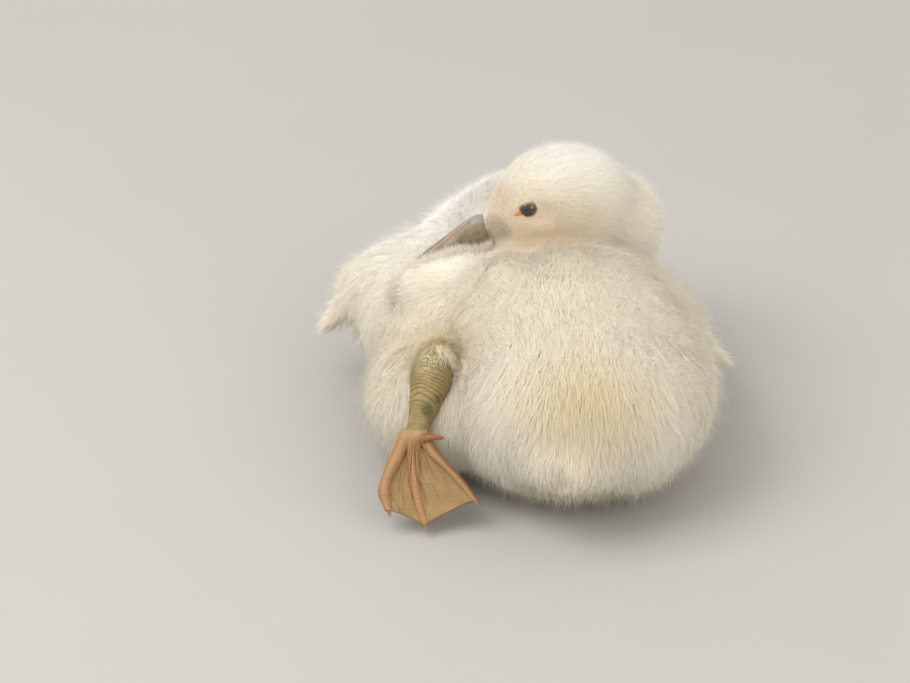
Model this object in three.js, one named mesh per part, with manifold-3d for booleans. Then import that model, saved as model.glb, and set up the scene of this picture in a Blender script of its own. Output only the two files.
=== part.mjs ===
// Mute swan cygnet, about two weeks old, as a still, life-size model.
//
// It rests on its belly with its breast towards +Y. The neck bends to its right and back, the head lies on
// the back with the bill to its left, and the left leg is stretched behind the left thigh, sole outwards.
// The right leg is folded under the right flank. Units are millimetres, +Z is up and +X is its right side.
// The floor is z = 0, and the origin is on the floor under the middle of the whole bird.
//
// The downy body is a field: rounded forms given by their centres and radii, melted into one another. Its
// surface is the reach of the down's tips. It is turned into facets cell by cell, and then parted with thin
// cuts. The bare parts, which are the bill, legs, feet and claws, are rings of points carried along a path.

import * as THREE from 'three';
import { edgeTable, triTable } from 'three/addons/objects/MarchingCubes.js';
import { mergeVertices } from 'three/addons/utils/BufferGeometryUtils.js';
import Module from 'manifold-3d';

const wasm = await Module();
wasm.setup();

// ---------------------------------------------------------------------------- driving dimensions

const GAP = 0.35; // left between neighbours

// Facet sizes
const TRUNK_CELL = 10;
const HEAD_CELL = 5.5;
const WING_CELL = 6;
const LIMB_SIDES = 8;
const LIMB_STEPS = 6;
const BALL_SIDES = 12; // eyes and the bill's nail
const KNUCKLE_SIDES = 8;
const CUT_SIDES = 18;
const BLOCK = 400; // size of the blocks that cut along a plane, larger than the bird

// Rounded forms of the trunk: centre, then radii
const TRUNK_FORMS = {
  rump: [[20, 2, 44], [60, 62, 46]],
  back: [[14, 30, 50], [56, 48, 44]],
  belly: [[4, 30, 30], [60, 76, 38]],
  mantleLeft: [[-45, 48, 38], [36, 38, 32]],
  shoulderLeft: [[-62, 72, 38], [26, 28, 29]],
  shoulderRight: [[42, 58, 36], [33, 36, 30]],
  flankRight: [[36, 10, 36], [38, 56, 36]],
  breast: [[-6, 98, 46], [46, 34, 42]],
  tail: [[14, -46, 38], [19, 22, 14]],
};
// The side of the breast, between the neck and the left wing: start, end and their radii
const BREAST_SIDE = [[-14, 104, 57], [-66, 79, 47], 31, 21];
// The down of the back that rises along the near side of the bill, which lies in it
const BILL_BED = [[-20, 52, 73], [-56, 45, 66.5], 9.5, 8.5];
const THIGH_FORM = [[-43, 14, 30], [36, 44, 32]]; // the left thigh, which shows as a bulge of its own
const TRUNK_MELT = 12; // how widely two forms melt together
const THIGH_MELT = 5; // narrower, which leaves the fold beside the rump

// Where the thighs are parted from the trunk
const THIGH_LEFT_CUT = [[-52, 8, 30], [42, 50, 44]];
const THIGH_RIGHT_CUT = [[66, 4, 30], [34, 46, 40]];
const TAIL_CUT = [[14, -72, 38], [26, 24, 24]];

// Neck: from inside the breast, round the right side, to the back of the head
const NECK_POINTS = [[10, 100, 42], [30, 94, 61], [31, 84, 82], [17, 76, 97]];
const NECK_RADII = [27, 22, 21, 20];
const NECK_CUT = [24, 79, 92]; // where the head is parted from the neck
const NECK_CUT_FACING = [-0.9, -0.35, 0.45];

// Head
const SKULL = [[8, 72, 103], [31, 21.5, 22]];
const CHEEKS = [[4, 71, 91], [23, 19, 17]];
const BILL_BASE = [-24, 68, 83.5]; // middle of the bill where the down ends
const BILL_TIP = [-59, 58, 70];
const FACE_RADII = [17, 9.2];
const HEAD_MELT = 9;

// Bill, measured from BILL_BASE: half-widths and heights from base to tip
const BILL_START = -4; // it begins this far inside the down
const BILL_HALF_WIDTHS = [7.4, 6.9, 6.5, 6.6, 7.0, 6.2, 2.8];
const BILL_TOP_HEIGHTS = [8.6, 10.8, 10.6, 8.3, 5.9, 3.6, 1.0];
const BILL_BOTTOM_DEPTHS = [5.4, 4.8, 3.9, 3.2, 2.6, 1.9, 0.8];
const BILL_SIDES = 10;
const BILL_STEPS = 9;
const BILL_LOWER_INSET = 0.5; // how much narrower the lower half is on each side
const NAIL_RADIUS = 4.4;
const NAIL_AHEAD = 0.4; // from the bill's tip
const NAIL_RAISED = 0.6;

// Eyes
const EYE_RADIUS = 3.9;
const EYE_FORWARD = 17; // in front of the skull's centre, along the head
const EYE_HEIGHT = 8.5; // above it
const EYE_SIDE = 13.6; // from the middle of the head to the middle of the eyeball
const EYE_HOLLOW = 8.5; // radius of the shallow dip that the eye sits in
const EYE_HOLLOW_DEPTH = 0.4; // how far the dip goes in past the middle of the eyeball
const EYE_HOLLOW_MELT = 3;

// Wings: root, wrist and tip, with half-widths and half-thicknesses
const WING_LEFT_POINTS = [[-62, 92, 52], [-83, 79, 47], [-104, 63, 30]];
const WING_RIGHT_POINTS = [[53, 77, 42], [65, 61, 38], [94, 42, 27]];
const WING_RADII = [12, 11, 2.4];
const WING_MELT = 8;
const WING_MARGIN = 24; // room round the wing's points in which its surface is looked for

// Shanks, from inside the down to the ball of the foot: points, then radii
const BALL_LEFT = [-55, -36, 38];
const BALL_RIGHT = [62, 42, 4.4];
const TARSI = {
  left: [[[-44, 8, 50], [-46, -4, 60], [-50.5, -21, 49], BALL_LEFT], [8, 9, 6, 5.6]],
  right: [[[57, 0, 10], [60, 8, 8.5], [62, 24, 6.5], BALL_RIGHT], [7, 7.5, 5.6, 5.4]],
};
const FOOT_LEFT_ALONG = [3, -23, -37.4];
const FOOT_RIGHT_ALONG = [-0.06, 1, -0.07];
const BALL_RADIUS = 5.7;

// Toes, in the plane of the foot: how far along the foot and how far to the side of its middle, with the
// foot's outer side positive, then radii
const TOES = {
  2: { along: [1, 8, 18, 29], side: [-2, -9, -18, -26], radii: [4.4, 3.1, 2.4, 1.7] },
  3: { along: [2, 15, 28, 39], side: [0, 1, 0, -3], radii: [5.0, 3.2, 2.6, 1.9] },
  4: { along: [1, 9, 21, 31], side: [2, 9, 14, 13], radii: [4.4, 3.1, 2.4, 1.7] },
};
const SPREAD = { left: 1, right: 0.45 }; // the right foot is half closed under the flank
const TOE_SIDES = 6;
const TOE_STEPS = 4;
const HALLUXES = {
  left: [[-51, -38, 40], [-46, -38.5, 41.2], [-41.5, -38.5, 41]],
  right: [[55.4, 35, 4.4], [52.4, 31, 3.2], [49.6, 27, 2.2]],
};
const HALLUX_RADII = [2.8, 1.5];
const HALLUX_STEPS = 3;
const CLAW_LENGTH = 5.5;
const CLAW_RADII = [1.6, 0.5];
const CLAW_BEND = 1.2;
const CLAW_SIDES = 6;
const CLAW_STEPS = 3;
const WEB_THICKNESS = 1.1;
const WEB_STEPS = 3;
const WEB_REACH = 0.95; // how far down the toes the web runs
const WEB_HOLLOW = 0.05; // how far the free edge of the web curves back, as a share of its width

const COLOURS = {
  down: 0xf1ece0,
  bill: 0x6d665f,
  nail: 0x4a4643,
  eye: 0x1c1410,
  leg: 0x8f8a6c,
  web: 0xd29a80,
  claw: 0x5a4a3e,
};
const ROUGHNESS = { down: 0.95, bill: 0.5, nail: 0.4, eye: 0.05, leg: 0.7, web: 0.6, claw: 0.4 };

// ---------------------------------------------------------------------------- fields

const vector = (list) => new THREE.Vector3(...list);

function ellipsoid([centre, radii]) {
  return (x, y, z) => {
    const a = (x - centre[0]) / radii[0];
    const b = (y - centre[1]) / radii[1];
    const c = (z - centre[2]) / radii[2];
    const far = Math.hypot(a, b, c);
    const steep = Math.hypot(a / radii[0], b / radii[1], c / radii[2]);
    return steep > 0 ? (far * (far - 1)) / steep : -Math.min(...radii);
  };
}

// A rod with round ends whose radius changes evenly from one end to the other.
function rod(start, end, startRadius, endRadius) {
  const line = end.map((value, axis) => value - start[axis]);
  const squared = line.reduce((sum, value) => sum + value * value, 0);
  return (x, y, z) => {
    const from = [x - start[0], y - start[1], z - start[2]];
    const share = (from[0] * line[0] + from[1] * line[1] + from[2] * line[2]) / squared;
    const t = Math.min(1, Math.max(0, share));
    const away = Math.hypot(from[0] - t * line[0], from[1] - t * line[1], from[2] - t * line[2]);
    return away - startRadius - t * (endRadius - startRadius);
  };
}

const melt = (a, b, width) => {
  const share = Math.max(width - Math.abs(a - b), 0) / width;
  return Math.min(a, b) - (share * share * width) / 4;
};

function melted(fields, width) {
  return (x, y, z) => fields.reduce((sum, field) => melt(sum, field(x, y, z), width), 1e3);
}

function chain(points, radii, width) {
  const rods = points.slice(1).map((point, i) => rod(points[i], point, radii[i], radii[i + 1]));
  return melted(rods, width);
}

// ---------------------------------------------------------------------------- facets

// Corners of a cell, and the two corners that each of its twelve edges joins, in the tables' order
const CORNERS = [[0, 0, 0], [1, 0, 0], [1, 1, 0], [0, 1, 0], [0, 0, 1], [1, 0, 1], [1, 1, 1], [0, 1, 1]];
const EDGES = [
  [0, 1], [1, 2], [2, 3], [3, 0], [4, 5], [5, 6], [6, 7], [7, 4], [0, 4], [1, 5], [2, 6], [3, 7],
];
const NEAREST = 0.04; // keeps a point this share of a cell away from the cell's corners
const SETTLE = 0.25; // and lets it slide this share of a cell onto the surface
const SLOPE_STEP = 0.05; // half the distance over which a field's slope is measured
const SHALLOWEST = 0.45; // least slope that a slide is worked out with

// A point near the surface, slid along the field's slope onto it, and then out of it by room.
function settled(point, field, reach, room) {
  const here = field(...point);
  const slope = [0, 1, 2].map((axis) => {
    const [before, after] = [point.slice(), point.slice()];
    before[axis] -= SLOPE_STEP;
    after[axis] += SLOPE_STEP;
    return (field(...after) - field(...before)) / (2 * SLOPE_STEP);
  });
  const steep = Math.max(Math.hypot(...slope), SHALLOWEST);
  const step = room - THREE.MathUtils.clamp(here / steep, -reach, reach);
  return point.map((value, axis) => value + (step * slope[axis]) / steep);
}

// The closed surface where the field is zero, inside a box, grown by room. The grown surface has the same
// facets, so that it clears the plain one everywhere.
function surface(field, low, high, cell, room = 0) {
  const counts = low.map((value, axis) => Math.ceil((high[axis] - value) / cell) + 1);
  const values = new Float64Array(counts[0] * counts[1] * counts[2]);
  const index = (i, j, k) => i + counts[0] * (j + counts[1] * k);
  for (let k = 0; k < counts[2]; k++) {
    for (let j = 0; j < counts[1]; j++) {
      for (let i = 0; i < counts[0]; i++) {
        values[index(i, j, k)] = field(low[0] + i * cell, low[1] + j * cell, low[2] + k * cell);
      }
    }
  }
  const points = [];
  const faces = [];
  const known = new Map();
  const pointOn = (a, b) => {
    const key = index(...a) < index(...b) ? `${a}|${b}` : `${b}|${a}`;
    if (!known.has(key)) {
      const here = values[index(...a)];
      const there = values[index(...b)];
      const share = Math.min(1 - NEAREST, Math.max(NEAREST, here / (here - there)));
      known.set(key, points.length / 3);
      const cut = a.map((value, axis) => low[axis] + cell * (value + share * (b[axis] - value)));
      points.push(...settled(cut, field, SETTLE * cell, room));
    }
    return known.get(key);
  };
  for (let k = 0; k < counts[2] - 1; k++) {
    for (let j = 0; j < counts[1] - 1; j++) {
      for (let i = 0; i < counts[0] - 1; i++) {
        const corners = CORNERS.map(([a, b, c]) => [i + a, j + b, k + c]);
        const inside = corners.map((corner) => values[index(...corner)] < 0);
        const kind = inside.reduce((sum, within, bit) => sum + (within ? 1 << bit : 0), 0);
        if (edgeTable[kind] === 0) continue;
        for (let t = kind * 16; triTable[t] >= 0; t += 3) {
          const face = [triTable[t], triTable[t + 1], triTable[t + 2]];
          faces.push(...face.map((edge) => pointOn(corners[EDGES[edge][0]], corners[EDGES[edge][1]])));
        }
      }
    }
  }
  return indexed(points, faces);
}

function indexed(points, faces) {
  const geometry = new THREE.BufferGeometry();
  geometry.setAttribute('position', new THREE.Float32BufferAttribute(points, 3));
  geometry.setIndex(faces);
  return geometry;
}

// ---------------------------------------------------------------------------- solids

function signedVolume(points, faces) {
  let sum = 0;
  const [a, b, c] = [new THREE.Vector3(), new THREE.Vector3(), new THREE.Vector3()];
  for (let i = 0; i < faces.length; i += 3) {
    a.fromArray(points, faces[i] * 3);
    b.fromArray(points, faces[i + 1] * 3);
    c.fromArray(points, faces[i + 2] * 3);
    sum += a.dot(b.cross(c));
  }
  return sum / 6;
}

function solid(geometry) {
  let bare = geometry.clone();
  for (const name of Object.keys(bare.attributes)) {
    if (name !== 'position') bare.deleteAttribute(name);
  }
  bare = mergeVertices(bare, 1e-4);
  const vertProperties = new Float32Array(bare.attributes.position.array);
  const triVerts = new Uint32Array(bare.index.array);
  if (signedVolume(vertProperties, triVerts) < 0) {
    for (let i = 0; i < triVerts.length; i += 3) {
      [triVerts[i], triVerts[i + 1]] = [triVerts[i + 1], triVerts[i]];
    }
  }
  return new wasm.Manifold(new wasm.Mesh({ numProp: 3, vertProperties, triVerts }));
}

function geometryOf(manifold) {
  const mesh = manifold.getMesh();
  return indexed(Array.from(mesh.vertProperties), Array.from(mesh.triVerts));
}

// The largest piece of a solid, without the crumbs that a cut can leave.
function largest(manifold) {
  return manifold.decompose().reduce((best, piece) => (piece.volume() > best.volume() ? piece : best));
}

function ball(centre, radii, sides = CUT_SIDES) {
  const geometry = new THREE.SphereGeometry(1, sides, sides / 2);
  geometry.scale(...radii).translate(...centre);
  return solid(geometry);
}

// A block whose face lies on a plane, filling the side that the plane faces.
function halfSpace(point, facing) {
  const geometry = new THREE.BoxGeometry(BLOCK, BLOCK, BLOCK).translate(0, 0, BLOCK / 2);
  const direction = vector(facing).normalize();
  const turn = new THREE.Quaternion().setFromUnitVectors(new THREE.Vector3(0, 0, 1), direction);
  geometry.applyQuaternion(turn).translate(...point);
  return solid(geometry);
}

// Rings of equal point counts, skinned in order and closed at both ends.
function skinned(rings) {
  const count = rings[0].length;
  const points = rings.flat().flatMap((point) => point.toArray());
  const faces = [];
  for (let i = 0; i + 1 < rings.length; i++) {
    for (let j = 0; j < count; j++) {
      const a = i * count + j;
      const b = i * count + ((j + 1) % count);
      faces.push(a, b, a + count, b, b + count, a + count);
    }
  }
  const last = (rings.length - 1) * count;
  for (const [start, order] of [[0, [0, 2, 1]], [last, [0, 1, 2]]]) {
    const middle = points.length / 3;
    const centre = new THREE.Vector3();
    for (let j = 0; j < count; j++) centre.add(new THREE.Vector3().fromArray(points, (start + j) * 3));
    points.push(...centre.divideScalar(count).toArray());
    for (let j = 0; j < count; j++) {
      const face = [middle, start + j, start + ((j + 1) % count)];
      faces.push(...order.map((corner) => face[corner]));
    }
  }
  return solid(indexed(points, faces));
}

// A round limb along a smooth path, its radius read off an evenly spaced list.
function limb(points, radii, sides, steps) {
  const path = new THREE.CatmullRomCurve3(points);
  const frames = path.computeFrenetFrames(steps, false);
  const rings = [];
  for (let i = 0; i <= steps; i++) {
    const radius = along(radii, i / steps);
    const middle = path.getPointAt(i / steps);
    rings.push(Array.from({ length: sides }, (_, j) => {
      const angle = (2 * Math.PI * j) / sides;
      return middle.clone()
        .addScaledVector(frames.normals[i], radius * Math.cos(angle))
        .addScaledVector(frames.binormals[i], radius * Math.sin(angle));
    }));
  }
  return skinned(rings);
}

// A value read off an evenly spaced list, at a share of its length.
function along(list, share) {
  const place = share * (list.length - 1);
  const i = Math.min(Math.floor(place), list.length - 2);
  return THREE.MathUtils.lerp(list[i], list[i + 1], place - i);
}

// ---------------------------------------------------------------------------- trunk and thighs

const BODY_LOW = [-116, -84, -16];
const BODY_HIGH = [116, 148, 120];

const trunkForms = [...Object.values(TRUNK_FORMS).map(ellipsoid), rod(...BREAST_SIDE), rod(...BILL_BED)];
const trunkOnly = melted(trunkForms, TRUNK_MELT);
const thighField = ellipsoid(THIGH_FORM);
const bodyField = (x, y, z) => melt(trunkOnly(x, y, z), thighField(x, y, z), THIGH_MELT);

const floor = halfSpace([0, 0, 0], [0, 0, -1]);
const body = solid(surface(bodyField, BODY_LOW, BODY_HIGH, TRUNK_CELL)).subtract(floor);
const bodyRoom = solid(surface(bodyField, BODY_LOW, BODY_HIGH, TRUNK_CELL, GAP)); // the body and its gap

const grown = ([centre, radii]) => [centre, radii.map((radius) => radius + GAP)];

const CUTS = { thigh_left: THIGH_LEFT_CUT, thigh_right: THIGH_RIGHT_CUT, tail: TAIL_CUT };

const trunk = () => Object.values(CUTS).reduce((rest, cut) => rest.subtract(ball(...grown(cut))), body);

// ---------------------------------------------------------------------------- head and neck

const headForward = vector(BILL_TIP).sub(vector(BILL_BASE)).normalize();
const headLeft = new THREE.Vector3(0, 0, 1).cross(headForward).normalize();
const headUp = headForward.clone().cross(headLeft);

// A point of the head, from its distances forward of the skull's centre, to its left and up.
function onHead(forward, left, up, from = SKULL[0]) {
  return vector(from)
    .addScaledVector(headForward, forward)
    .addScaledVector(headLeft, left)
    .addScaledVector(headUp, up)
    .toArray();
}

const EYES = {
  left: onHead(EYE_FORWARD, EYE_SIDE, EYE_HEIGHT),
  right: onHead(EYE_FORWARD, -EYE_SIDE, EYE_HEIGHT),
};

const neckField = chain(NECK_POINTS, NECK_RADII, HEAD_MELT);
const faceField = rod(SKULL[0], BILL_BASE, ...FACE_RADII);
const skullField = melted([ellipsoid(SKULL), ellipsoid(CHEEKS), faceField, neckField], HEAD_MELT);

function headField(x, y, z) {
  const rounded = skullField(x, y, z);
  const dips = [1, -1].map((side) => {
    const outside = onHead(EYE_FORWARD, side * (EYE_SIDE + EYE_HOLLOW - EYE_HOLLOW_DEPTH), EYE_HEIGHT);
    return Math.hypot(x - outside[0], y - outside[1], z - outside[2]) - EYE_HOLLOW;
  });
  return dips.reduce((sum, dip) => -melt(-sum, dip, EYE_HOLLOW_MELT), rounded);
}

const HEAD_LOW = [-50, 36, 6];
const HEAD_HIGH = [74, 142, 142];
const headAndNeck = solid(surface(headField, HEAD_LOW, HEAD_HIGH, HEAD_CELL)).subtract(bodyRoom);
const headRoom = solid(surface(headField, HEAD_LOW, HEAD_HIGH, HEAD_CELL, GAP));

function head() {
  const socketRadii = Array(3).fill(EYE_RADIUS + GAP);
  const sockets = Object.values(EYES).map((centre) => ball(centre, socketRadii, BALL_SIDES));
  const front = headAndNeck.intersect(halfSpace(NECK_CUT, NECK_CUT_FACING));
  return sockets.reduce((rest, socket) => rest.subtract(socket), front);
}

function neck() {
  const facing = vector(NECK_CUT_FACING).normalize();
  const start = vector(NECK_CUT).addScaledVector(facing, -GAP).toArray();
  return headAndNeck.intersect(halfSpace(start, facing.negate().toArray()));
}

// ---------------------------------------------------------------------------- bill

const BILL_LENGTH = vector(BILL_TIP).distanceTo(vector(BILL_BASE));

// One half of the bill, above (1) or below (-1) the line where the two close on each other.
function mandible(heights, side) {
  const rings = [];
  for (let i = 0; i <= BILL_STEPS; i++) {
    const share = i / BILL_STEPS;
    const forward = BILL_START + share * (BILL_LENGTH - BILL_START);
    const halfWidth = along(BILL_HALF_WIDTHS, share) - (side < 0 ? BILL_LOWER_INSET : 0);
    const height = along(heights, share);
    rings.push(Array.from({ length: BILL_SIDES + 1 }, (_, j) => {
      const angle = (Math.PI * j) / BILL_SIDES;
      const up = side * (height * Math.sin(angle) + GAP / 2);
      return vector(onHead(forward, halfWidth * Math.cos(angle), up, BILL_BASE));
    }));
  }
  return skinned(rings).subtract(headRoom).subtract(bodyRoom);
}

const upperBill = mandible(BILL_TOP_HEIGHTS, 1);
const nailCentre = onHead(BILL_LENGTH + NAIL_AHEAD, 0, NAIL_RAISED, BILL_BASE);
const nail = (room) => ball(nailCentre, Array(3).fill(NAIL_RADIUS + room), BALL_SIDES);

// ---------------------------------------------------------------------------- wings

function wing(points) {
  const field = chain(points, WING_RADII, WING_MELT);
  const low = [0, 1, 2].map((axis) => Math.min(...points.map((point) => point[axis])) - WING_MARGIN);
  const high = [0, 1, 2].map((axis) => Math.max(...points.map((point) => point[axis])) + WING_MARGIN);
  return solid(surface(field, low, high, WING_CELL)).subtract(bodyRoom).subtract(headRoom);
}

// ---------------------------------------------------------------------------- legs and feet

// The plane of a foot. Its points are given by how far they lie along the foot, how far to its outer side,
// and how far out of the plane.
function footPlane(centre, direction, outer) {
  const forward = vector(direction).normalize();
  const side = vector(outer).addScaledVector(forward, -vector(outer).dot(forward)).normalize();
  const out = side.clone().cross(forward);
  return (far, sideways, lift = 0) => vector(centre)
    .addScaledVector(forward, far)
    .addScaledVector(side, sideways)
    .addScaledVector(out, lift);
}

const FEET = {
  left: footPlane(BALL_LEFT, FOOT_LEFT_ALONG, [-1, 0, 0]),
  right: footPlane(BALL_RIGHT, FOOT_RIGHT_ALONG, [1, 0, 0]),
};

const toePath = (side, toe) => toe.along.map((far, i) => FEET[side](far, SPREAD[side] * toe.side[i]));

// The web between two toes: a thin plate between their middle lines, with a hollow free edge.
function web(side, inner, outer, room) {
  const place = FEET[side];
  const lines = [inner, outer].map((toe) => new THREE.CatmullRomCurve3(toePath(side, toe)));
  const lift = place(0, 0, WEB_THICKNESS / 2 + room).sub(place(0, 0));
  const rings = Array.from({ length: WEB_STEPS + 1 }, (_, i) => {
    const row = Array.from({ length: WEB_STEPS + 1 }, (_, j) => {
      const share = j / WEB_STEPS;
      const reach = (WEB_REACH * i * (1 - WEB_HOLLOW * 4 * share * (1 - share))) / WEB_STEPS;
      return lines[0].getPointAt(reach).lerp(lines[1].getPointAt(reach), share);
    });
    const under = row.map((point) => point.clone().sub(lift)).reverse();
    return [...row.map((point) => point.clone().add(lift)), ...under];
  });
  return skinned(rings);
}

// Three toes, the web between them and the ball they spring from, larger all round by room.
function foot(side, room = 0) {
  const place = FEET[side];
  const wider = (radii) => radii.map((radius) => radius + room);
  const toeLimb = (toe) => limb(toePath(side, toe), wider(toe.radii), TOE_SIDES, TOE_STEPS);
  const toes = Object.values(TOES).map(toeLimb);
  const webs = [web(side, TOES[2], TOES[3], room), web(side, TOES[3], TOES[4], room)];
  const knuckle = ball(place(0, 0).toArray(), Array(3).fill(BALL_RADIUS + room), KNUCKLE_SIDES);
  return [...toes, ...webs].reduce((sum, piece) => sum.add(piece), knuckle).subtract(floor);
}

// The scaled shank from the ankle, which the down hides, to the ball of the foot.
function tarsus(side, room = 0) {
  const [points, radii] = TARSI[side];
  return limb(points.map(vector), radii.map((radius) => radius + room), LIMB_SIDES, LIMB_STEPS)
    .subtract(foot(side, GAP))
    .subtract(bodyRoom)
    .subtract(floor);
}

function hallux(side) {
  return limb(HALLUXES[side].map(vector), HALLUX_RADII, TOE_SIDES, HALLUX_STEPS)
    .subtract(foot(side, GAP))
    .subtract(tarsus(side, GAP))
    .subtract(bodyRoom)
    .subtract(floor);
}

// A claw that carries on from the end of a toe and curves a little to the sole.
function claw(path, sole) {
  const end = path[path.length - 1];
  const forward = end.clone().sub(path[path.length - 2]).normalize();
  const points = [GAP, CLAW_LENGTH / 2, CLAW_LENGTH].map((far) => end.clone()
    .addScaledVector(forward, far)
    .addScaledVector(sole, CLAW_BEND * (far / CLAW_LENGTH) ** 2));
  return limb(points, CLAW_RADII, CLAW_SIDES, CLAW_STEPS).subtract(floor);
}

// ---------------------------------------------------------------------------- the bird

const bird = new THREE.Group();

// Adds a piece as a node with the colour and roughness of one of the finishes.
function add(name, piece, finish) {
  const [color, roughness] = [COLOURS[finish], ROUGHNESS[finish]];
  const material = new THREE.MeshStandardMaterial({ color, roughness, metalness: 0 });
  const mesh = new THREE.Mesh(geometryOf(largest(piece)), material);
  mesh.name = name;
  bird.add(mesh);
}

add('trunk', trunk(), 'down');
for (const [name, cut] of Object.entries(CUTS)) add(name, body.intersect(ball(...cut)), 'down');
add('neck', neck(), 'down');
add('head', head(), 'down');
add('wing_left', wing(WING_LEFT_POINTS), 'down');
add('wing_right', wing(WING_RIGHT_POINTS), 'down');

add('bill_upper', upperBill.subtract(nail(GAP)), 'bill');
add('bill_nail', upperBill.intersect(nail(0)), 'nail');
add('bill_lower', mandible(BILL_BOTTOM_DEPTHS, -1), 'bill');

for (const [side, centre] of Object.entries(EYES)) {
  add(`eye_${side}`, ball(centre, Array(3).fill(EYE_RADIUS), BALL_SIDES), 'eye');
}

for (const side of ['left', 'right']) {
  const place = FEET[side];
  const sole = place(0, 0, side === 'left' ? 1 : -1).sub(place(0, 0));
  add(`tarsus_${side}`, tarsus(side), 'leg');
  add(`foot_${side}`, foot(side).subtract(bodyRoom), 'web');
  add(`hallux_${side}`, hallux(side), 'leg');
  for (const [digit, toe] of Object.entries(TOES)) {
    add(`claw_${side}_${digit}`, claw(toePath(side, toe), sole), 'claw');
  }
}

// The origin is on the floor, under the middle of the bird.
const box = new THREE.Box3().setFromObject(bird);
bird.position.set(-(box.min.x + box.max.x) / 2, -(box.min.y + box.max.y) / 2, -box.min.z);

export default bird;
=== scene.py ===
import bmesh
import bpy
import numpy as np
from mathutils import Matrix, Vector


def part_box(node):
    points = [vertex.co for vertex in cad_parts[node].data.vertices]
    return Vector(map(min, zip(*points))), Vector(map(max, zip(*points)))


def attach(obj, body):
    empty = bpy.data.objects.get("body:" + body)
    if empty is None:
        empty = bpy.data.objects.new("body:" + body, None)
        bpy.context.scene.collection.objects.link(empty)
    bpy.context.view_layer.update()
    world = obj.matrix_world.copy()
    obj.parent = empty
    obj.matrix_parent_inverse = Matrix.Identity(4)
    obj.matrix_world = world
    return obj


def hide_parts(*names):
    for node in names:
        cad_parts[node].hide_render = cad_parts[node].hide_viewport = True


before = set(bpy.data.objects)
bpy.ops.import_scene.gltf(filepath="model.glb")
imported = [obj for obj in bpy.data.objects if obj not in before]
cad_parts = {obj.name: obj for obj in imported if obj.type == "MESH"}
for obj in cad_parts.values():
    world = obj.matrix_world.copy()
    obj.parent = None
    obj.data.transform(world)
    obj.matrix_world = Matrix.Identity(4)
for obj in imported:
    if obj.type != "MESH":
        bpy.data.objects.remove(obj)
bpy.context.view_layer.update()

bl_info = {
    "name": "Mute swan cygnet",
    "version": (1, 0, 0),
    "blender": (4, 5, 0),
    "location": "View3D > Sidebar > Cygnet",
    "description": "Builds the down, face, bill, legs and feet of a life-size mute swan cygnet",
    "category": "Object",
}

BODY = "root"

# ---------- sizes
# Millimetres, with X to the bird's right, Y from its tail to its breast and Z up from the floor. placed()
# moves them into the row's frame.

TRUNK_FORMS = (
    ((20, 2, 44), (60, 62, 46)),  # rump
    ((14, 30, 50), (56, 48, 44)),  # back
    ((4, 30, 30), (60, 76, 38)),  # belly
    ((-45, 48, 38), (36, 38, 32)),  # left of the mantle
    ((-62, 72, 38), (26, 28, 29)),  # left shoulder
    ((42, 58, 36), (33, 36, 30)),  # right shoulder
    ((36, 10, 36), (38, 56, 36)),  # right flank
    ((-6, 98, 46), (46, 34, 42)),  # breast
    ((14, -46, 38), (19, 22, 14)),  # tail
)
BREAST_SIDE = ((-14, 104, 57), (-66, 79, 47), 31, 21)  # from the breast to the left shoulder
BILL_BED = ((-21.2, 53.5, 75), (-36, 50.6, 72.3), (-57.2, 46.5, 68.5))  # the down that the bill lies in
BILL_BED_RADII = (6.8, 10.6, 9.9)
VALLEY = ((-16.5, 41, 77.5), (-30.5, 25, 62.5), 7, 7)  # fills the fold between thigh and back
THIGH = ((-43, 14, 30), (36, 44, 32))
CUFF = ((-44, 12, 52), (-46, -1.8, 58.7), 11.5, 11.2)  # the down that covers the left ankle
NECK_POINTS = ((10, 100, 42), (30, 94, 61), (31, 84, 82), (17, 76, 97))
NECK_RADII = (27, 22, 21, 20)
SKULL = ((8, 72, 103), (29.5, 21.5, 22))
CHEEKS = ((4, 71, 91), (23, 19, 17))
BILL_BASE = np.array((-24, 68, 83.5))
BILL_TIP = (-59, 58, 70)
FACE_RADII = (16.4, 9.6)
WING_POINTS = {
    "left": ((-62, 92, 52), (-83, 79, 47), (-104, 63, 30)),
    "right": ((53, 77, 42), (65, 61, 38), (84, 47.5, 31)),
}
WING_RADII = (12, 11, 3.2)
TRUNK_MELT, THIGH_MELT, HEAD_MELT = 12, 5, 11  # how wide their forms run into one another
WING_MELT = 8
JOIN_MELT = 8  # where head, wings and body meet in one skin
FACE_EDGE = 0.9  # the down of the face ends this far ahead of the bill's base, less its own depth
FACE_SLANT = 0.32  # its edge leans forward over the forehead
FLOOR_GAP = 0.05  # bare pieces keep this far off the floor
SLOPE_STEP = 0.05  # for finding the slope of a field
SLIDE_STEP = 2.5  # the furthest that a point slides at once
LEAST_SLOPE = 0.45  # a field flatter than this is taken to be as steep as this
BAKE_MAP = "OFBake"


def unit(rows):
    """Each row divided by its length."""
    rows = np.asarray(rows, float)
    return rows / np.maximum(np.linalg.norm(rows, axis=-1, keepdims=True), 1e-12)


FORWARD = unit(np.subtract(BILL_TIP, BILL_BASE))
LEFT = unit(np.cross((0, 0, 1), FORWARD))
UP = np.cross(FORWARD, LEFT)


def on_head(forward, left, up):
    """A point of the head, from its distances forward, left and up along the head's own axes."""
    return np.asarray(SKULL[0], float) + forward * FORWARD + left * LEFT + up * UP


EYES = {"left": on_head(17, 13.6, 8.5), "right": on_head(17, -13.6, 8.5)}
EYE_HOLLOWS = (  # balls that press the head in at its eyes, each with the width of its melt
    (on_head(17, 23.5, 8.5), 8.5, 3), (on_head(21.4, -27.9, 12.5), 15, 5))
SHIFT = (np.array(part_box("eye_left")[0]) + np.array(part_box("eye_left")[1])) * 500 - EYES["left"]


def placed(points):
    """Design millimetres turned into metres in the row's frame."""
    return (np.asarray(points, float) + SHIFT) * 0.001


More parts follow.
